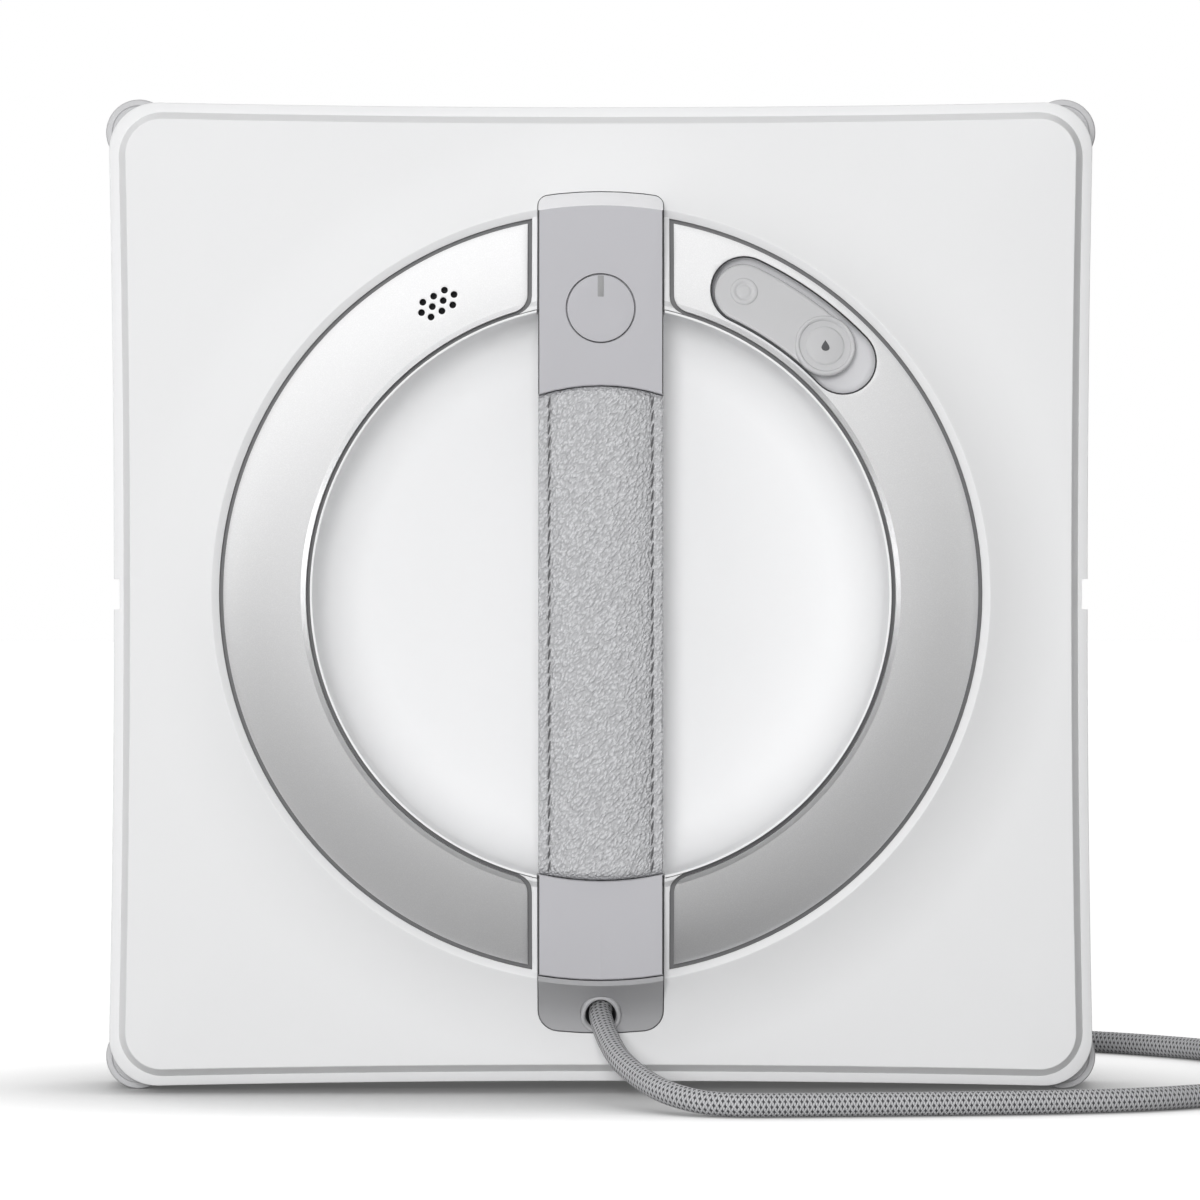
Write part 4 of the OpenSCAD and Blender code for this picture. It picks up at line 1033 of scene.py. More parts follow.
def hand_bowl_shell():
    """Round hand bowl with a rolled rim, cut away where the handle crosses its wall."""
    inside = BOWL_R - BOWL_WALL / 2
    profile = [(0, BOWL_FLOOR_Z - 2), (BOWL_R, BOWL_FLOOR_Z - 2)]
    wall = [(BOWL_R, BOWL_FLOOR_Z), (BOWL_R, RIM_Z), (inside, RIM_Z), (inside - 0.5, BOWL_FLOOR_Z)]
    profile += rounded(wall + [(inside - 20, BOWL_FLOOR_Z)], {1: 0.25, 2: 0.3, 3: BOWL_ROUND}, 12)
    profile += [(30, BOWL_FLOOR_Z), (0, BOWL_FLOOR_Z)]
    obj = revolve("hand_bowl_shell", profile, steps=192)
    for s in (-1, 1):
        low = (-HANDLE_W / 2 - MOVE_GAP, s * BOWL_R - 8, SLEEVE_Z - MOVE_GAP)
        high = (HANDLE_W / 2 + MOVE_GAP, s * BOWL_R + 8, CROWN_Z + 10)
        combine(obj, box_shell("gate", low, high), "DIFFERENCE")
    return shade(obj, 36)


def trim_end_angle(r):
    """Angle at which a trim ends at radius r: a straight end with a round inner corner."""
    c = TRIM_INNER_CORNER
    centre_r = TRIM_TOP_R + c
    centre_a = math.acos((TRIM_END_X + c) / centre_r)
    touch = math.hypot(TRIM_END_X, centre_r * math.sin(centre_a))
    if r >= touch:
        return math.acos(TRIM_END_X / r)
    cosine = (r * r + centre_r * centre_r - c * c) / (2 * r * centre_r)
    return centre_a + math.acos(max(-1, min(1, cosine)))


def trim_shell(name, s):
    """One of the two silver trims. s is 1 on the right and -1 on the left."""
    near = [TRIM_TOP_R + 3.8 * (k / 12) ** 2 for k in range(13)]
    far = [near[-1] + (TRIM_OUT_R - near[-1]) * k / 16 for k in range(1, 17)]
    radii = sorted(near + [TRIM_IN_R] + far)
    columns = [1 - k / 70 for k in range(141)]
    top, low = [], []
    for r in radii:
        end = trim_end_angle(r)
        places = [(s * r * math.cos(end * c), r * math.sin(end * c)) for c in columns]
        top.append([stand(x, y, ring_surface(r)) for x, y in places])
        low.append([stand(x, y, channel_height(r) + 0.05) for x, y in places])
    return slab(name, top, low)


def speaker_holes():
    """Cutters of the ten small holes over the speaker, in rows of three, four and three."""
    cx, cy = in_angle(SPEAKER_R, SPEAKER_A)
    tilt = math.radians(GRILLE_TILT)
    rods = []
    for row, count in ((-1, 3), (0, 4), (1, 3)):
        for i in range(count):
            u, v = (i - (count - 1) / 2) * GRILLE_PITCH, row * GRILLE_ROW
            x, y = cx + u * math.cos(tilt) - v * math.sin(tilt), cy + u * math.sin(tilt) + v * math.cos(tilt)
            rods.append(rod("hole", x, y, 50, 75, GRILLE_HOLE_R, 24))
    return joined(*rods)


def paint_shade_in_gaps(obj):
    """Paints shade into the narrow gaps round the trims, under the handle's ends and outside the bowl's wall:
    dark grey faces that stand in for the shadow in them.
    """
    obj.data.materials.append(GAP_PAINTED_SHADE.material)
    for face in obj.data.polygons:
        x, y = face.center.x / MM, (face.center.z - MIDDLE_Z) / MM
        r, z = math.hypot(x, y), (GLASS_Y - face.center.y) / MM
        outside = face.normal.x * x + face.normal.z * y > 0.5 * r
        beside_trim = HOLE_R - 0.3 < r < LIP_R + 0.02 and z < ring_surface(r) - 0.3
        under_cap = HOLE_R < r < 119 and abs(x) < HANDLE_W / 2 + SEAT_GAP + 0.05 and z < seat_height(r) - 0.25
        if beside_trim or under_cap or abs(r - BOWL_R) < 0.2 and outside:
            face.material_index = 1


put(outer_frame_shell(), WHITE, "chassis", "white_shell", "outer_frame")
# The cover and the bowl get painted shade in their narrow gaps
paint_shade_in_gaps(put(top_cover_shell(), WHITE, "chassis", "white_shell", "top_cover"))
# The bowl uses the lighter copy of the white, painted light against the shade in its well
paint_shade_in_gaps(put(hand_bowl_shell(), BOWL_WHITE_PAINTED_LIGHT, "chassis", "white_shell", "hand_bowl"))
left_trim = combine(trim_shell("trim_left_plate", -1), speaker_holes(), "DIFFERENCE")
put(shade(soften(left_trim, 0.22, angle=35), 30), SILVER, "chassis", "silver_trim", "trim_left")
right_trim = combine(trim_shell("trim_right_plate", 1),
                     loft("slot", [slot_loop(SLOT_HALF, 45), slot_loop(SLOT_HALF, 75)]), "DIFFERENCE")
put(shade(soften(right_trim, 0.22, angle=35), 30), SILVER, "chassis", "silver_trim", "trim_right")


# Geometry Nodes: what repeats along a path, at points or over a surface
class Repeat(Tree):
    """A Geometry Nodes tree with named sizes. It ends in realised instances and one finish."""

    def __init__(self, name, *sizes):
        group = bpy.data.node_groups.new(name, "GeometryNodeTree")
        super().__init__(group)
        group.interface.new_socket("Geometry", in_out="INPUT", socket_type="NodeSocketGeometry")
        self.sizes = {}
        for size in sizes:
            socket = group.interface.new_socket(size, in_out="INPUT", socket_type="NodeSocketFloat")
            self.sizes[size] = socket.identifier
        group.interface.new_socket("Geometry", in_out="OUTPUT", socket_type="NodeSocketGeometry")
        self.entry = group.nodes.new("NodeGroupInput")

    def given(self, name):
        return Socket(self, self.entry.outputs[name])

    def dress(self, obj, instances, finish, values):
        """Sets the named sizes on the object and turns the tree's result into its mesh."""
        real = self.node("GeometryNodeRealizeInstances", sockets={0: instances})
        sockets = {"Geometry": real, "Material": finish.material}
        dressed = self.node("GeometryNodeSetMaterial", sockets=sockets)
        output = self.tree.nodes.new("NodeGroupOutput")
        self.tree.links.new(dressed.socket, output.inputs[0])
        modifier = obj.modifiers.new("repeat", "NODES")
        modifier.node_group = self.tree
        for size, value in values.items():
            modifier[self.sizes[size]] = value
        return applied(obj)


def wire(name, lines, closed=False):
    """Edges only: one polyline for each list of points."""
    points, edges = [], []
    for line in lines:
        first = len(points)
        points += [tuple(p) for p in line]
        edges += [(k, k + 1) for k in range(first, len(points) - 1)]
        if closed:
            edges.append((len(points) - 1, first))
    mesh = bpy.data.meshes.new(name)
    mesh.from_pydata(points, edges, [])
    obj = bpy.data.objects.new(name, mesh)
    bpy.context.scene.collection.objects.link(obj)
    return obj


def stitched(name, lines, finish, pitch, thickness, length, lean):
    """Sewn stitches along polylines: small spindles that lean across the seam."""
    tree = Repeat("stitches", "Pitch", "Thickness", "Length", "Lean")
    seam = tree.node("GeometryNodeMeshToCurve", sockets={"Mesh": tree.given("Geometry")})
    places = tree.node("GeometryNodeCurveToPoints", {"mode": "LENGTH"},
                       {"Curve": seam, "Length": tree.given("Pitch")})
    spindle = tree.node("GeometryNodeMeshUVSphere", sockets={"Segments": 8, "Rings": 6, "Radius": 0.5})
    thick, long = tree.given("Thickness"), tree.given("Length")
    size = tree.node("ShaderNodeCombineXYZ", sockets={"X": thick, "Y": thick, "Z": long})
    turn = tree.node("ShaderNodeCombineXYZ", sockets={"Y": tree.given("Lean")})
    sockets = {"Geometry": spindle, "Rotation": turn, "Scale": size}
    shaped = tree.node("GeometryNodeTransform", sockets=sockets)
    rows = tree.node("GeometryNodeInstanceOnPoints", sockets={"Points": places, "Instance": shaped})
    values = {"Pitch": pitch * MM, "Thickness": thickness * MM, "Length": length * MM, "Lean": lean}
    return shade(tree.dress(wire(name, lines), rows, finish, values), 60)


# Handle
GRIP_ROLL = 2.6
GRIP_END_Z = 63.6
SEAM_X = HANDLE_W / 2 - STITCH_INSET
SEAM_Z = CAP_Z - 0.42


def grip_section():
    """Half of the leather's section: from its crown, over the sewn channel, to its underside."""
    half = HANDLE_W / 2
    side = CAP_Z - 0.7
    points = []
    for k in range(15):
        x = (SEAM_X - 0.55) * k / 14
        points.append((x, side + (CROWN_Z - 0.2 - side) * (1 - (x / (SEAM_X + 0.15)) ** 2.6)))
    edge = points[-1][1]
    points += [(SEAM_X - 0.4, edge - 0.1), (SEAM_X - 0.2, edge - 0.24), (SEAM_X, edge - 0.32),
               (SEAM_X + 0.2, edge - 0.24), (SEAM_X + 0.4, edge - 0.1), (SEAM_X + 0.75, edge)]
    points += [(half - 0.8, edge), (half - 0.4, edge - 0.15), (half - 0.12, edge - 0.6), (half, edge - 1.3)]
    points += [(half, 60), (half, SLEEVE_Z + 1.7), (half - 0.4, SLEEVE_Z + 0.7), (half - 1.1, SLEEVE_Z + 0.1),
               (half - 2.1, SLEEVE_Z), (7, SLEEVE_Z), (0, SLEEVE_Z)]
    return points


def grip_point(x, z, along):
    """A point of the leather at a share of its length: rolled down at its ends, puckered beside its seams."""
    low, high = -math.sqrt(GRIP_LOW_R ** 2 - x * x), math.sqrt(GRIP_TOP_R ** 2 - x * x)
    y = low + (high - low) * along
    end = max(0, min(y - low, high - y))
    wave = 0.5 + 0.5 * math.cos(2 * math.pi * y / STITCH_PITCH)
    pucker = math.exp(-((abs(x) - SEAM_X) / 0.95) ** 2) * wave
    if z > GRIP_END_Z:
        z -= 0.22 * pucker
        z += 0.1 * noise.noise(Vector((x / 6, y / 9, 3)))
        gather = 1 + 0.35 * noise.noise(Vector((x / 0.9, math.copysign(4, y), end / 2)))
        roll = GRIP_ROLL * gather
        if end < roll:
            z -= (z - GRIP_END_Z) * (1 - math.sqrt(1 - (1 - end / roll) ** 2))
    return stand(x, y, z)


def grip_shell():
    half = grip_section()
    section = half + [(-x, z) for x, z in half[-2:0:-1]]
    span = GRIP_LOW_R + GRIP_TOP_R
    near = [0, 0.1, 0.3, 0.6, 1, 1.4, 1.9, 2.5]
    count = 150
    middle = [3.1 + (span - 6.2) * k / count for k in range(count + 1)]
    stations = near + middle + [span - d for d in reversed(near)]
    loops = [[grip_point(x, z, d / span) for x, z in section] for d in stations]
    return shade(loft("handle_grip_leather", loops), 60)


def top_cap_shell():
    nose = cove_height(CAP_OUT_R) + 1
    fall = (CAP_Z - nose) / (CAP_OUT_R - CAP_FLAT_R)
    profile = [(50, SLEEVE_Z), (77.4, SLEEVE_Z)] + seat_line(SEAT_SINK, SEAT_IN_R, NOSE_END_R)
    profile += [(NOSE_END_R, CAP_Z - fall * (NOSE_END_R - CAP_FLAT_R)), (CAP_FLAT_R, CAP_Z), (50, CAP_Z)]
    obj = cap_solid("handle_top_shell", cap_outline(CAP_IN_R, CAP_OUT_R, CAP_CORNER, 1), profile,
                    cap_outline(CAP_IN_R, CAP_OUT_R, CAP_CORNER, 1, -EDGE_INSET))
    combine(obj, box_shell("core", (-CORE_HALF, 0, 0), (CORE_HALF, CORE_LEN, CORE_TOP + 0.1)), "DIFFERENCE")
    combine(obj, rod("button_hole", 0, BUTTON_Y, 60, 80, BUTTON_R + 0.35, 96), "DIFFERENCE")
    return shade(soften(obj, 0.45, 3, 35), 14)


def bottom_cap_shell():
    profile = [(70, SLEEVE_Z), (77.4, SLEEVE_Z)] + seat_line(SEAT_SINK, SEAT_IN_R, CREST_R)
    profile += [(CREST_R, CAP_Z), (70, CAP_Z)]
    obj = cap_solid("handle_bottom_shell", cap_outline(LOW_CAP_IN_R, LOW_CAP_OUT_R, 0, -1), profile,
                    cap_outline(LOW_CAP_IN_R, LOW_CAP_OUT_R, 0, -1, -EDGE_INSET))
    combine(obj, box_shell("core", (-CORE_HALF, -CORE_LEN, 0), (CORE_HALF, 0, CORE_TOP + 0.1)), "DIFFERENCE")
    return shade(soften(obj, 0.45, 3, 35), 14)


def outlet_height(r):
    end = cove_height(OUTLET_OUT_R) + 0.5
    return end + (CAP_Z - end) * (max(0, OUTLET_OUT_R - r) / (OUTLET_OUT_R - CREST_R)) ** OUTLET_CURVE


def outlet_shell():
    """Cover over the cord's way out: a flat strip, then a hollow that runs out to the face."""
    profile = [(OUTLET_LAP_R, seat_height(OUTLET_LAP_R) - SEAT_SINK)] + seat_line(SEAT_SINK, 104, 120)
    steps = [OUTLET_OUT_R - (OUTLET_OUT_R - CREST_R) * k / 20 for k in range(21)]
    profile += [(profile[-1][0], outlet_height(OUTLET_OUT_R))] + [(r, outlet_height(r)) for r in steps]
    profile.append((OUTLET_LAP_R, CAP_Z))
    outline = cap_outline(OUTLET_IN_R, OUTLET_OUT_R, OUTLET_CORNER, -1)
    obj = cap_solid("cable_outlet_shell", outline, profile)
    hole = revolve("hole", [(GROMMET_R + 0.1, -30), (GROMMET_R + 0.1, 30)], grommet_place, 64)
    combine(obj, hole, "DIFFERENCE")
    return shade(soften(obj, 0.22, 3, 35), 14)


def grommet_shell():
    """Sleeve that the cord comes out of, with a rolled rim."""
    profile = [(0, -5), (4.05, -5), (4.1, 0.5), (4.2, 1.05), (4.45, 1.5), (4.8, 1.65), (5.12, 1.5),
               (5.35, 1.1), (GROMMET_R, 0.5), (GROMMET_R, -7.8), (0, -7.8)]
    return shade(revolve("cable_grommet_sleeve", profile, grommet_place, 72))


def throat_shell():
    """Dark sheet inside the grommet: painted shade that stands in for the dark inside of the hole."""
    profile = [(0, -4.98), (4, -4.98), (4.03, 0.7), (3.93, 0.7), (3.9, -4.8), (0, -4.8)]
    return shade(revolve("cable_grommet_throat", profile, grommet_place, 72))


def button_shell():
    """Power button with a retaining flange and a slightly dished top."""
    top = CAP_Z - 0.05
    profile = [(0, 63.5), (9.8, 63.5), (9.8, 64.3), (BUTTON_R, 64.3), (BUTTON_R, top - 0.28),
               (BUTTON_R - 0.05, top - 0.13), (BUTTON_R - 0.15, top - 0.04), (BUTTON_R - 0.3, top),
               (6, top - 0.05), (0, top - 0.08)]
    return shade(revolve("power_button_key", profile, lambda u, v, h: stand(u, BUTTON_Y + v, h), 120), 40)


def index_bar():
    """Narrow window on the button that shows its state."""
    half, low, high = 0.82, BUTTON_Y + BUTTON_R - 5.9, BUTTON_Y + BUTTON_R - 0.28
    corners = rounded([(-half, low), (half, low), (half, high), (-half, high)], {0: 0.2, 1: 0.2}, 4, True)
    loops = [[stand(x * k, y, z) for x, y in corners] for k, z in ((1, 66.6), (1, 66.94), (0.94, 66.97))]
    return shade(loft("power_button_window", loops), 40)


def paint_shade_on_edges(obj):
    """Paints shade on the chamfered side edges of the handle: near-black faces that stand in for the thin
    shadow line along its sides.
    """
    obj.data.materials.append(EDGE_PAINTED_SHADE.material)
    for face in obj.data.polygons:
        if abs(face.normal.x) > 0.36 and face.normal.y < -0.3:
            face.material_index = len(obj.data.materials) - 1
    return obj


def paint_shade_round_button(obj):
    """Paints shade on the walls of the narrow gap round the power button: near-black faces that stand in for
    the shadow in the gap.
    """
    obj.data.materials.append(EDGE_PAINTED_SHADE.material)
    axis = stand(0, BUTTON_Y, 0)
    for face in obj.data.polygons:
        reach = math.hypot(face.center.x - axis.x, face.center.z - axis.z)
        if abs(face.normal.y) < 0.6 and reach < (BUTTON_R + 1) * MM:
            face.material_index = len(obj.data.materials) - 1
    return obj


grip = put(grip_shell(), LEATHER, "chassis", "grip_leather", "handle_grip")
seams = [[stand(s * SEAM_X, y, SEAM_Z) for y in (-72.5, -10, 51)] for s in (-1, 1)]
stitches = stitched("handle_stitches", seams, THREAD, STITCH_PITCH, 0.5, 3.3, 0.17)
put(stitches, THREAD, "chassis", "grip_leather")
top_cap = put(top_cap_shell(), CAP, "chassis", "cap_grey", "handle_top_cap")
paint_shade_on_edges(top_cap)
paint_shade_round_button(top_cap)
# Painted light: the cap's faces that look upwards get the lighter copy of its grey
top_cap.data.materials.append(CAP_NOSE_PAINTED_LIGHT.material)
for face in top_cap.data.polygons:
    if face.normal.z > 0.5 and face.center.z > MIDDLE_Z + 0.1:
        face.material_index = 3
paint_shade_on_edges(put(bottom_cap_shell(), CAP, "chassis", "cap_grey", "handle_bottom_cap"))
put(outlet_shell(), OUTLET, "chassis", "outlet_grey", "cable_outlet_cover")
put(grommet_shell(), GROMMET, "chassis", "outlet_grey", "cable_grommet")
# Painted shade: a dark sheet inside the grommet
put(throat_shell(), DARK, "chassis", "outlet_grey")
paint_shade_round_button(put(button_shell(), CAP, "power_button", "cap_grey", "power_button"))
put(index_bar(), LIGHT_BAR, "power_button", "outlet_grey")


# Water filler
TRAY_HALF = 8.85
TRAY_FLOOR = trim_height(STOPPER_R) - 6.8
NECK_R = 4.5
NECK_LOW = 46
BEND_HALF = 2.2
RIM_DROP = 0.55


def over_trim(drop):
    """Height function: the trims' surface, lowered by drop."""
    return lambda x, y: trim_height(math.hypot(x, y)) - drop


def filler_place(angle, drop):
    """Places points round a spot of the filler's middle arc, square to the trims' surface there."""
    slope = (trim_height(STOPPER_R + 1) - trim_height(STOPPER_R - 1)) / 2
    tilt = math.atan(slope)
    c, s = math.cos(math.radians(angle)), math.sin(math.radians(angle))

    def place(u, v, h):
        r = STOPPER_R + u * math.cos(tilt) - h * math.sin(tilt)
        z = trim_height(STOPPER_R) - drop + u * math.sin(tilt) + h * math.cos(tilt)
        return stand(r * c - v * s, r * s + v * c, z)

    return place


def tray_shell():
    """Sunk tray with a thin rim, a rounded floor and the neck into the tank."""
    under = TRAY_FLOOR - 1.5
    levels = [(0.3, under), (9.25, under), (9.25, over_trim(0.3)), (9.2, over_trim(0.22)),
              (8.95, over_trim(0.22)), (TRAY_HALF, over_trim(0.4)), (TRAY_HALF, TRAY_FLOOR + 2.4),
              (TRAY_HALF - 0.15, TRAY_FLOOR + 1.4), (TRAY_HALF - 0.6, TRAY_FLOOR + 0.6),
              (TRAY_HALF - 1.3, TRAY_FLOOR + 0.15), (TRAY_HALF - 2.2, TRAY_FLOOR), (0.3, TRAY_FLOOR)]
    obj = loft("filler_tray_shell", [slot_loop(half, z) for half, z in levels])
    x, y = in_angle(STOPPER_R, PLUG_A)
    combine(obj, rod("neck_hole", x, y, 40, 60, NECK_R, 64), "DIFFERENCE")
    neck = [(NECK_R, NECK_LOW), (NECK_R + 1.3, NECK_LOW), (NECK_R + 1.3, under + 0.2), (NECK_R, under + 0.2)]
    tube = revolve("neck", neck, lambda u, v, h: stand(x + u, y + v, h), 64, True)
    return shade(joined(obj, tube), 40)


def stopper_shell():
    """Silicone strap in one piece: an anchor, a thin sheet and a ringed lid with a plug."""
    d = STOPPER_DROP
    half, low = STOPPER_HALF, d + STOPPER_T
    levels = [(0.3, low), (half - 0.5, low), (half - 0.15, low - 0.2), (half, low - 0.6), (half, d + 0.75),
              (half - 0.06, d + 0.45), (half - 0.22, d + 0.2), (half - 0.5, d + 0.05), (half - 0.9, d)]
    levels += [(half, d) for half in (7, 5.5, 4, 2.5, 1.2, 0.3)]
    loops = [slot_loop(half, over_trim(drop), FILLER_A0, PLUG_A, 44, 28, SHEET_R) for half, drop in levels]
    sheet = loft("filler_stopper_silicone", loops)
    lid = [(0, -1.4), (8.1, -1.4), (8.3, -0.5), (8.25, 0.1), (8, 0.5), (7.7, 0.68), (7.35, 0.64), (7.05, 0.3),
           (6.85, -0.2), (6.55, -0.65), (6.1, -0.8), (5.65, -0.6), (5.35, -0.15), (5.1, 0.2), (4.7, 0.34),
           (0, 0.34)]
    dome = [(0, -1), (3.7, -1), (3.7, 0.12), (3.5, 0.32), (3.1, 0.44), (2.75, 0.42), (2.5, 0.3), (2.3, 0.12),
            (2, 0.06), (1.75, 0.1), (1.6, 0.22), (1.3, 0.3), (0, 0.32)]
    plug = [(0, TRAY_FLOOR - 2.5), (3, TRAY_FLOOR - 2.5), (3.4, TRAY_FLOOR - 2.2), (4.2, TRAY_FLOOR + 1),
            (5.5, TRAY_FLOOR + 1.2), (5.5, TRAY_FLOOR + 4), (0, TRAY_FLOOR + 4)]
    x, y = in_angle(STOPPER_R, PLUG_A)
    others = [revolve("lid", lid, filler_place(PLUG_A, d), 96),
              revolve("dome", dome, filler_place(FILLER_A0, d), 72),
              revolve("plug", plug, lambda u, v, h: stand(x + u, y + v, h), 64)]
    return shade(joined(sheet, *others), 50)


def drop_mark():
    """Raised mark in the shape of a plain drop on the lid, for water."""
    place = filler_place(PLUG_A, STOPPER_DROP)
    turn = math.radians(-PLUG_A)
    outline = []
    for k in range(28):
        t = 2 * math.pi * k / 28
        swell = math.sin(t) * math.sin(t / 2) ** 1.6
        outline.append((1.5 * math.cos(t), 1.6 * swell))
    loops = []
    for share, h in ((1, 0.2), (1, 0.4), (0.85, 0.44)):
        row = []
        for along, across in outline:
            sx, sy = across * share, along * share
            u = sx * math.cos(turn) - sy * math.sin(turn)
            v = sx * math.sin(turn) + sy * math.cos(turn)
            row.append(place(u, v, h))
        loops.append(row)
    return shade(loft("filler_drop_mark", loops), 40)


tray = put(tray_shell(), TRAY, "chassis", "tray_grey", "filler_tray")
# Painted shade: the tray's faces near the top of its rim are near-black, standing in for the shadow in the
# thin gap round the slot
tray.data.materials.append(DARK.material)
for face in tray.data.polygons:
    x, y = face.center.x / MM, (face.center.z - MIDDLE_Z) / MM
    if (GLASS_Y - face.center.y) / MM > trim_height(math.hypot(x, y)) - RIM_DROP:
        face.material_index = 1
stopper = stopper_shell()
stopper.data.materials.append(SILICONE.material)
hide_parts("filler_stopper", "filler_strap")
bend = math.degrees(BEND_HALF / STOPPER_R)
bend_from = stand(*in_angle(STOPPER_R, HINGE_A + bend), trim_height(STOPPER_R))
bend_to = stand(*in_angle(STOPPER_R, HINGE_A - bend), trim_height(STOPPER_R))
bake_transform(stopper)
put(drop_mark(), DROP_INK, "filler_stopper", "dark_plastic")


# Rollers, tracks, pad and the underside
ROLLER_Z = (9.4, 33.4)
ROLLER_R = 9
TRACK_X = 75
WHEEL_Y = 60
WHEEL_R = 12
WHEEL_HALF = 8
AXLE_Z = 13.6
AXLE_R = 2.5
BELT_HALF = 9
BELT_IN_R = 12.3
BELT_R = 13.1
RIB_R = 0.6
RIB_PITCH = 3
PAD_HALF = 122
PAD_CORNER = 40
PAD_OPEN = (89, 80)
PAD_OPEN_CORNER = 14
BASE_Z = 5
SCREW_SPOTS = [(a * sx, b * sy) for a, b in ((118, 60), (60, 118)) for sx in (-1, 1) for sy in (-1, 1)]
SENSOR_AT = 113.5


def roller_shell(name, sx, sy):
    """Corner roller: a grooved tyre on a recessed hub."""
    low, high = ROLLER_Z
    profile = [(2.6, low), (3.6, low), (3.9, low + 0.6), (7.1, low + 0.6), (7.4, low), (8.1, low),
               (8.7, low + 0.25), (ROLLER_R, low + 0.9)]
    for k in range(5):
        h = low + 3.4 + 4 * k
        profile += [(ROLLER_R, h), (ROLLER_R - 0.45, h + 0.3), (ROLLER_R - 0.45, h + 0.9)]
        profile.append((ROLLER_R, h + 1.2))
    profile += [(ROLLER_R, high - 0.9), (8.7, high - 0.25), (8.1, high), (7.4, high), (7.1, high - 0.6),
                (3.9, high - 0.6), (3.6, high), (2.6, high)]
    spot = (sx * ROLLER_AT, sy * ROLLER_AT)
    return shade(revolve(name, profile, lambda u, v, h: stand(spot[0] + u, spot[1] + v, h), 120, True))


def wheel_profile():
    """Half of a track wheel's section, from its hub's face over the rim to the other face."""
    face = [(4.6, -WHEEL_HALF), (4.9, -WHEEL_HALF + 0.5), (4.9, -2), (9.4, -2), (9.4, -WHEEL_HALF + 0.5),
            (9.8, -WHEEL_HALF), (WHEEL_R - 0.7, -WHEEL_HALF), (WHEEL_R, -WHEEL_HALF + 0.7)]
    rim = []
    for k in range(3):
        h = -4.5 + 4 * k
        rim += [(WHEEL_R, h), (WHEEL_R - 0.5, h + 0.25), (WHEEL_R - 0.5, h + 0.75), (WHEEL_R, h + 1)]
    return face + rim + [(r, -h) for r, h in reversed(face)]


def wheel_shell(name, s, y, driven):
    """Track wheel with a thin web and six holes through it. A driven wheel carries its own axle."""
    def place(u, v, h):
        return stand(s * (TRACK_X + h), y + u, AXLE_Z + v)

    if driven:
        axle_in, axle_out = -21.5, 13
        profile = [(0, axle_in), (AXLE_R - 0.3, axle_in), (AXLE_R, axle_in + 0.3), (AXLE_R, -WHEEL_HALF)]
        profile += wheel_profile() + [(AXLE_R, WHEEL_HALF), (AXLE_R, axle_out - 0.3)]
        profile += [(AXLE_R - 0.3, axle_out), (0, axle_out)]
    else:
        profile = [(AXLE_R + 0.06, -WHEEL_HALF)] + wheel_profile() + [(AXLE_R + 0.06, WHEEL_HALF)]
    obj = revolve(name, profile, place, 72, not driven)
    holes = []
    for k in range(6):
        u, v = in_angle(7.1, 60 * k)
        holes.append(revolve("hole", [(1.5, -4), (1.5, 4)], lambda a, b, h: place(u + a, v + b, h), 20))
    return shade(soften(combine(obj, joined(*holes), "DIFFERENCE"), 0.12, angle=50))


def stadium_loop(r, x, steps=40):
    """Loop of a track in its own plane, at radius r round both wheels."""
    loop = []
    for middle, first in ((WHEEL_Y, -90), (-WHEEL_Y, 90)):
        for k in range(steps + 1):
            u, v = in_angle(r, first + 180 * k / steps)
            loop.append(stand(x, middle + u, AXLE_Z + v))
    return loop


def belt_ribs(name, s):
    """Ribs across a track belt."""
    tree = Repeat("belt_ribs", "Pitch", "Radius", "Width")
    run = tree.node("GeometryNodeMeshToCurve", sockets={"Mesh": tree.given("Geometry")})
    places = tree.node("GeometryNodeCurveToPoints", {"mode": "LENGTH"},
                       {"Curve": run, "Length": tree.given("Pitch")})
    bar = tree.node("GeometryNodeMeshCylinder", sockets={"Vertices": 10, "Radius": tree.given("Radius"),
                                                         "Depth": tree.given("Width")})
    laid = tree.node("GeometryNodeTransform", sockets={"Geometry": bar, "Rotation": (0, math.pi / 2, 0)})
    rows = tree.node("GeometryNodeInstanceOnPoints", sockets={"Points": places, "Instance": laid})
    path = wire(name, [stadium_loop(BELT_R + 0.5 - RIB_R, s * TRACK_X)], True)
    values = {"Pitch": RIB_PITCH * MM, "Radius": RIB_R * MM, "Width": (2 * BELT_HALF - 1) * MM}
    return tree.dress(path, rows, RUBBER, values)


def belt_shell(name, s):
    lanes = [(BELT_IN_R, -BELT_HALF), (BELT_R - 0.15, -BELT_HALF), (BELT_R, -BELT_HALF + 0.2),
             (BELT_R, BELT_HALF - 0.2), (BELT_R - 0.15, BELT_HALF), (BELT_IN_R, BELT_HALF)]
    band = loft(name, [stadium_loop(r, s * (TRACK_X + x)) for r, x in lanes], True)
    return shade(joined(band, belt_ribs("ribs", s)), 40)


def round_rect(hx, hy, r, side=34, arc=14):
    """Loop of a rectangle with round corners, starting on its right side."""
    loop = []
    for sx, sy, first in ((1, 1, 0), (-1, 1, 90), (-1, -1, 180), (1, -1, 270)):
        for k in range(arc):
            u, v = in_angle(r, first + 90 * k / (arc - 1))
            loop.append((sx * (hx - r) + u, sy * (hy - r) + v))
        a = loop[-1]
        b = {0: (-hx + r, hy), 90: (-hx, -hy + r), 180: (hx - r, -hy), 270: (hx, hy - r)}[first]
        loop += [(a[0] + (b[0] - a[0]) * k / side, a[1] + (b[1] - a[1]) * k / side) for k in range(1, side)]
    return loop


def pile_height(x, y):
    return 0.18 * noise.noise(Vector((x / 5, y / 5, 0))) + 0.1 * noise.noise(Vector((x / 1.7, y / 1.7, 7)))


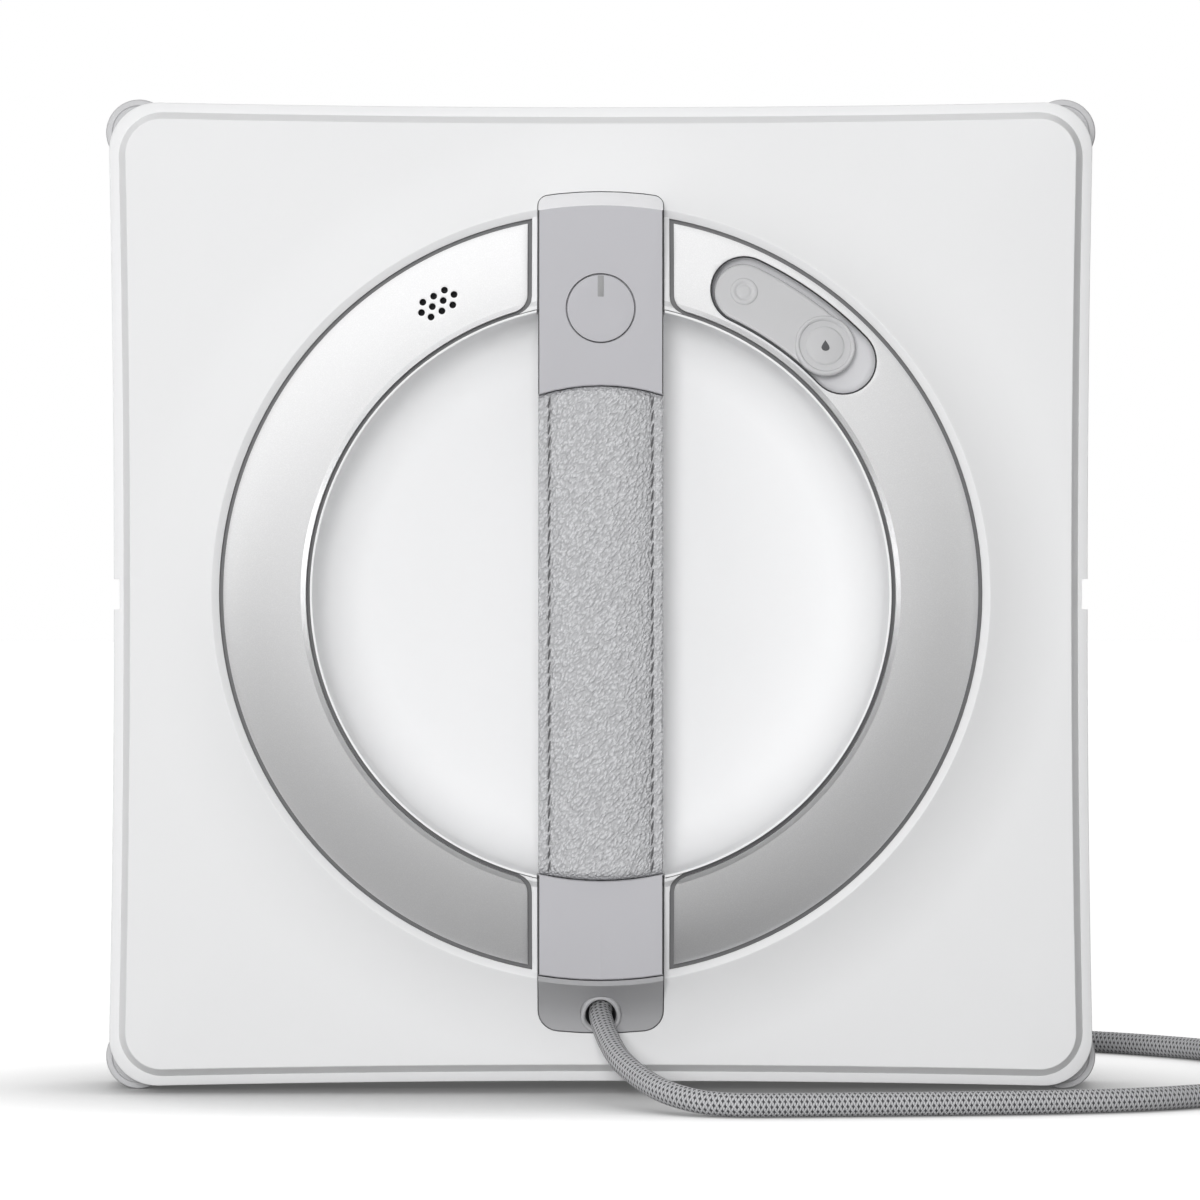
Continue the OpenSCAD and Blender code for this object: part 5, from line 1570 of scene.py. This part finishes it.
def pad_shell():
    """Ring-shaped pad: bound edges, a sewn line inside each of them and a swollen pile between."""
    hem = [(3.2, 3.7), (1.2, 3.6), (0.3, 3.1), (0, 2.4), (0, 1.6), (0.35, 0.9), (1.2, 0.45), (2.6, 0.35),
           (3.8, 0.55), (4.3, 1.15), (4.8, 0.6), (6, 0.25)]
    loops = []
    for inset, z in hem:
        row = round_rect(PAD_HALF - inset, PAD_HALF - inset, PAD_CORNER - inset)
        loops.append([(x, y, z) for x, y in row])
    outer = round_rect(PAD_HALF - 6, PAD_HALF - 6, PAD_CORNER - 6)
    inner = round_rect(PAD_OPEN[0] + 6, PAD_OPEN[1] + 6, PAD_OPEN_CORNER + 6)
    for k in range(1, 16):
        row = []
        for a, b in zip(outer, inner):
            x, y = a[0] + (b[0] - a[0]) * k / 16, a[1] + (b[1] - a[1]) * k / 16
            row.append((x, y, 0.28 + pile_height(x, y)))
        loops.append(row)
    for inset, z in reversed(hem):
        row = round_rect(PAD_OPEN[0] + inset, PAD_OPEN[1] + inset, PAD_OPEN_CORNER + inset)
        loops.append([(x, y, z) for x, y in row])
    return shade(loft("cleaning_pad_fabric", [stand_loop(loop) for loop in loops], True), 70)


def tufted(obj):
    """Covers the pad's cleaning side with small tufts."""
    tree = Repeat("pad_tufts", "Density", "Tuft Radius")
    pad = tree.given("Geometry")
    normal = tree.node("GeometryNodeInputNormal")
    facing = tree.node("ShaderNodeSeparateXYZ", sockets={"Vector": normal}, out="Y")
    spots = tree.node("GeometryNodeDistributePointsOnFaces", {"distribute_method": "RANDOM"},
                      {"Mesh": pad, "Selection": tree.math("GREATER_THAN", facing, 0.93),
                       "Density": tree.given("Density"), "Seed": 5})
    sockets = {"Segments": 6, "Rings": 4, "Radius": tree.given("Tuft Radius")}
    tuft = tree.node("GeometryNodeMeshUVSphere", sockets=sockets)
    spread = tree.node("FunctionNodeRandomValue", {"data_type": "FLOAT_VECTOR"},
                       {0: (0.7, 0.35, 0.7), 1: (1.4, 0.7, 1.4), "Seed": 11})
    sockets = {"Points": spots, "Instance": tuft, "Scale": spread}
    tufts = tree.node("GeometryNodeInstanceOnPoints", sockets=sockets)
    both = tree.node("GeometryNodeJoinGeometry")
    tree.tree.links.new(tufts.socket, both.socket.node.inputs[0])
    tree.tree.links.new(pad.socket, both.socket.node.inputs[0])
    return tree.dress(obj, both, FIBRE, {"Density": 105000, "Tuft Radius": 0.0011})


def screw_shape():
    """Pan head with a cross recess, and a short shank."""
    profile = [(0, 0.35), (1.2, 0.3), (2, 0.32), (2.5, 0.5), (2.75, 0.9), (2.8, 1.4), (2.8, 1.9), (1.45, 1.9),
               (1.45, 12), (0, 12.6)]
    obj = revolve("screw", profile, lambda u, v, h: Vector((u, -h, v)) * MM, 40)
    for w, l in ((0.5, 3), (3, 0.5)):
        outline = [(-w / 2, -l / 2), (w / 2, -l / 2), (w / 2, l / 2), (-w / 2, l / 2)]
        cross = loft("cross", [[Vector((x, -y, z)) * MM for x, z in outline] for y in (0, 1.3)])
        combine(obj, cross, "DIFFERENCE")
    return shade(soften(obj, 0.06, angle=50))


def sensor_shape():
    """Edge sensor: a bezel round a sunk dark window."""
    profile = [(0, 0.25), (1.6, 0.15), (2.5, 0.3), (2.6, 0.9), (2.75, 0.9), (2.85, 0.1), (3.1, -0.05),
               (3.45, 0.05), (3.6, 0.35), (3.6, 8), (0, 8)]
    return shade(revolve("sensor", profile, lambda u, v, h: Vector((u, -h, v)) * MM, 48))


def repeated(name, shape, spots, finish):
    """Copies of one shape at spots of the underside."""
    tree = Repeat(name + "_set", "Size")
    mesh = tree.node("GeometryNodeObjectInfo", sockets={"Object": shape}, out="Geometry")
    size = tree.node("ShaderNodeCombineXYZ", sockets={k: tree.given("Size") for k in "XYZ"})
    sockets = {"Points": tree.given("Geometry"), "Instance": mesh, "Scale": size}
    copies = tree.node("GeometryNodeInstanceOnPoints", sockets=sockets)
    points = new_object(name, [stand(x, y, z) for x, y, z in spots], [])
    made = tree.dress(points, copies, finish, {"Size": 1.0})
    bpy.data.objects.remove(shape)
    return made


for side, sx in (("left", -1), ("right", 1)):
    for row, sy in (("top", 1), ("bottom", -1)):
        roller = "roller_" + row + "_" + side
        put(roller_shell(roller + "_tyre", sx, sy), TYRE, roller, "roller_grey", roller)
    for wheel, y in (("drive_wheel_" + side, -WHEEL_Y), ("idler_wheel_" + side, WHEEL_Y)):
        put(wheel_shell(wheel + "_hub", sx, y, y < 0), WHEEL, wheel, "wheel_grey", wheel)
    belt = "track_belt_" + side
    put(belt_shell(belt + "_ribbed", sx), RUBBER, "chassis", "track_rubber", belt)
    put(refined("spray_nozzle_" + side, 0.25), OUTLET, "chassis", "outlet_grey", "spray_nozzle_" + side)
pad = put(tufted(pad_shell()), FIBRE, "chassis", "microfibre", "cleaning_pad")
put(refined("pad_hook_strips", 0.2), HOOKS, "chassis", "hook_tape", "pad_hook_strips")
put(refined("base_plate", 0.3), BASE, "chassis", "base_plastic", "base_plate")
put(refined("intake_grille", 0.3), OUTLET, "chassis", "outlet_grey", "intake_grille")
screws = repeated("housing_screw_set", screw_shape(), [(x, y, BASE_Z) for x, y in SCREW_SPOTS], STEEL)
put(screws, STEEL, "chassis", "steel", "housing_screws")
corners = [(SENSOR_AT * sx, SENSOR_AT * sy, BASE_Z - 0.5) for sx in (-1, 1) for sy in (-1, 1)]
sensors = repeated("edge_sensor_set", sensor_shape(), corners, DARK)
put(sensors, DARK, "chassis", "dark_plastic", "edge_sensors")


# Finishes of the pieces inside the body
INSIDE = {
    "handle_core": DARK, "speaker": DARK, "switch_board": BOARD, "water_tank": TANK, "water_pump": DARK,
    "water_hoses": SILICONE, "fan_housing": DARK, "fan_motor": STEEL, "fan_impeller": DARK,
    "battery_pack": CELLS, "main_board": BOARD, "idler_axles": STEEL, "roller_pins": STEEL,
}
for side in ("left", "right"):
    INSIDE["drive_motor_" + side] = STEEL
    INSIDE["drive_gearbox_" + side] = DARK
    INSIDE["drive_pinion_" + side] = STEEL
    INSIDE["drive_gear_" + side] = GEAR
for node, finish in INSIDE.items():
    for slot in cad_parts[node].material_slots:
        slot.material = finish.material


# Stage and light
FLOOR_SIZE = 30
FLOOR_GLOW = 0.74
CONTACT_REACH = 0.075
SOFTBOX = (-0.15, -0.84, 0.52)
SOFTBOX_LEVEL = 0.16
DOME_LEVEL = 0.03
LEFT_LEVEL = 0.75
TOP_LEVEL = 0.55
FLAG = (0.85, 0, -0.5)
FLAG_SHARE = 0.8
SHEEN_BOX = (-0.26, -0.68, 0.685)
SHEEN_LEVEL = 1.22
SHEEN_DOME = 0.06
STRIP_LEVEL = 7
BACK_LEVEL = 0.22
KEY_AT = (-0.1, -1.55, 0.28)
KEY_SIZE = 0.45
KEY_ENERGY = 15


def studio_floor():
    """Large pale floor. Its lit part keeps the object's real shadow, and its glow is darkened by ambient
    occlusion near the object, which paints a contact shadow.
    """
    half = FLOOR_SIZE / 2
    obj = new_object("studio_floor", [(-half, -half, 0), (half, -half, 0), (half, half, 0), (-half, half, 0)],
                     [(0, 1, 2, 3)])
    finish = Finish("floor_paper", (0.5, 0.5, 0.5), 0.9)
    finish.tone(finish.noise(3), 0.01)
    camera_ray = finish.node("ShaderNodeLightPath", out="Is Camera Ray")
    glossy_ray = finish.node("ShaderNodeLightPath", out="Is Glossy Ray")
    clear_ray = finish.node("ShaderNodeLightPath", out="Is Transmission Ray")
    seen = finish.math("MINIMUM", camera_ray + 0.1 * (glossy_ray + clear_ray), 1)
    # Painted shadow: the glow fades where ambient occlusion finds the object close by, darkening the floor at
    # the contact
    open_share = finish.node("ShaderNodeAmbientOcclusion", {"samples": 8}, {"Distance": CONTACT_REACH}, "AO")
    strength = FLOOR_GLOW * seen * (0.1 + 0.9 * open_share ** 3)
    glow = finish.node("ShaderNodeEmission", sockets={"Color": (1, 1, 1, 1), "Strength": strength})
    output = next(n for n in finish.tree.nodes if n.type == "OUTPUT_MATERIAL")
    paper = Socket(finish, finish.shader.outputs[0])
    lit = finish.node("ShaderNodeAddShader", sockets={0: paper, 1: glow})
    finish.tree.links.new(lit.socket, output.inputs["Surface"])
    obj.data.materials.append(finish.material)


def studio_world():
    """Soft light from the left and from above, with a flag that darkens the lower right. Glossy surfaces
    mirror a broad softbox in front and two strips beside it, and the camera sees plain white."""
    world = bpy.data.worlds.new("studio")
    bpy.context.scene.world = world
    world.use_nodes = True
    tree = Tree(world.node_tree)
    along = tree.node("ShaderNodeTexCoord", out="Generated")
    x = tree.node("ShaderNodeSeparateXYZ", sockets={"Vector": along}, out="X")
    y = tree.node("ShaderNodeSeparateXYZ", sockets={"Vector": along}, out="Y")
    z = tree.node("ShaderNodeSeparateXYZ", sockets={"Vector": along}, out="Z")
    lobe = tree.math("MAXIMUM", tree.vector("DOT_PRODUCT", along, SOFTBOX, out="Value"), 0)
    flag = 1 - FLAG_SHARE * tree.step(tree.vector("DOT_PRODUCT", along, FLAG, out="Value"), 0.05, 0.7)
    sides = LEFT_LEVEL * tree.step(0 - x, 0.3, 1) + TOP_LEVEL * tree.step(z, 0.4, 1)
    sides = sides + BACK_LEVEL * tree.step(y, 0.2, 0.8)
    soft = (DOME_LEVEL + SOFTBOX_LEVEL * lobe + sides) * flag
    sheen_lobe = tree.math("MAXIMUM", tree.vector("DOT_PRODUCT", along, SHEEN_BOX, out="Value"), 0)
    strips = tree.step(tree.math("ABSOLUTE", x), 0.92, 0.96) * tree.step(0 - y, 0.05, 0.12)
    sheen = SHEEN_DOME + SHEEN_LEVEL * sheen_lobe + STRIP_LEVEL * strips
    camera_ray = tree.node("ShaderNodeLightPath", out="Is Camera Ray")
    glossy_ray = tree.node("ShaderNodeLightPath", out="Is Glossy Ray")
    clear_ray = tree.node("ShaderNodeLightPath", out="Is Transmission Ray")
    shiny = tree.math("MINIMUM", glossy_ray + clear_ray, 1)
    backdrop = tree.step(y, -0.1, 0.3) * flag
    mirrored = sheen + backdrop * (1 - sheen)
    level = soft + shiny * (mirrored - soft)
    level = level + camera_ray * (1 - level)
    shine = tree.node("ShaderNodeBackground", sockets={"Color": (1, 1, 1, 1), "Strength": level})
    output = tree.tree.nodes.new("ShaderNodeOutputWorld")
    tree.tree.links.new(shine.socket, output.inputs["Surface"])


def key_lamp():
    """Soft lamp in front, a little above and to the left of the camera."""
    data = bpy.data.lights.new("key", "AREA")
    data.shape = "DISK"
    data.size = KEY_SIZE
    data.energy = KEY_ENERGY
    lamp = bpy.data.objects.new("key", data)
    lamp.location = KEY_AT
    lamp.visible_glossy = False
    lamp.rotation_euler = (Vector((0, 0, MIDDLE_Z)) - lamp.location).to_track_quat("-Z", "Y").to_euler()
    bpy.context.scene.collection.objects.link(lamp)


studio_floor()
studio_world()
key_lamp()
bpy.context.scene.view_settings.view_transform = "Standard"
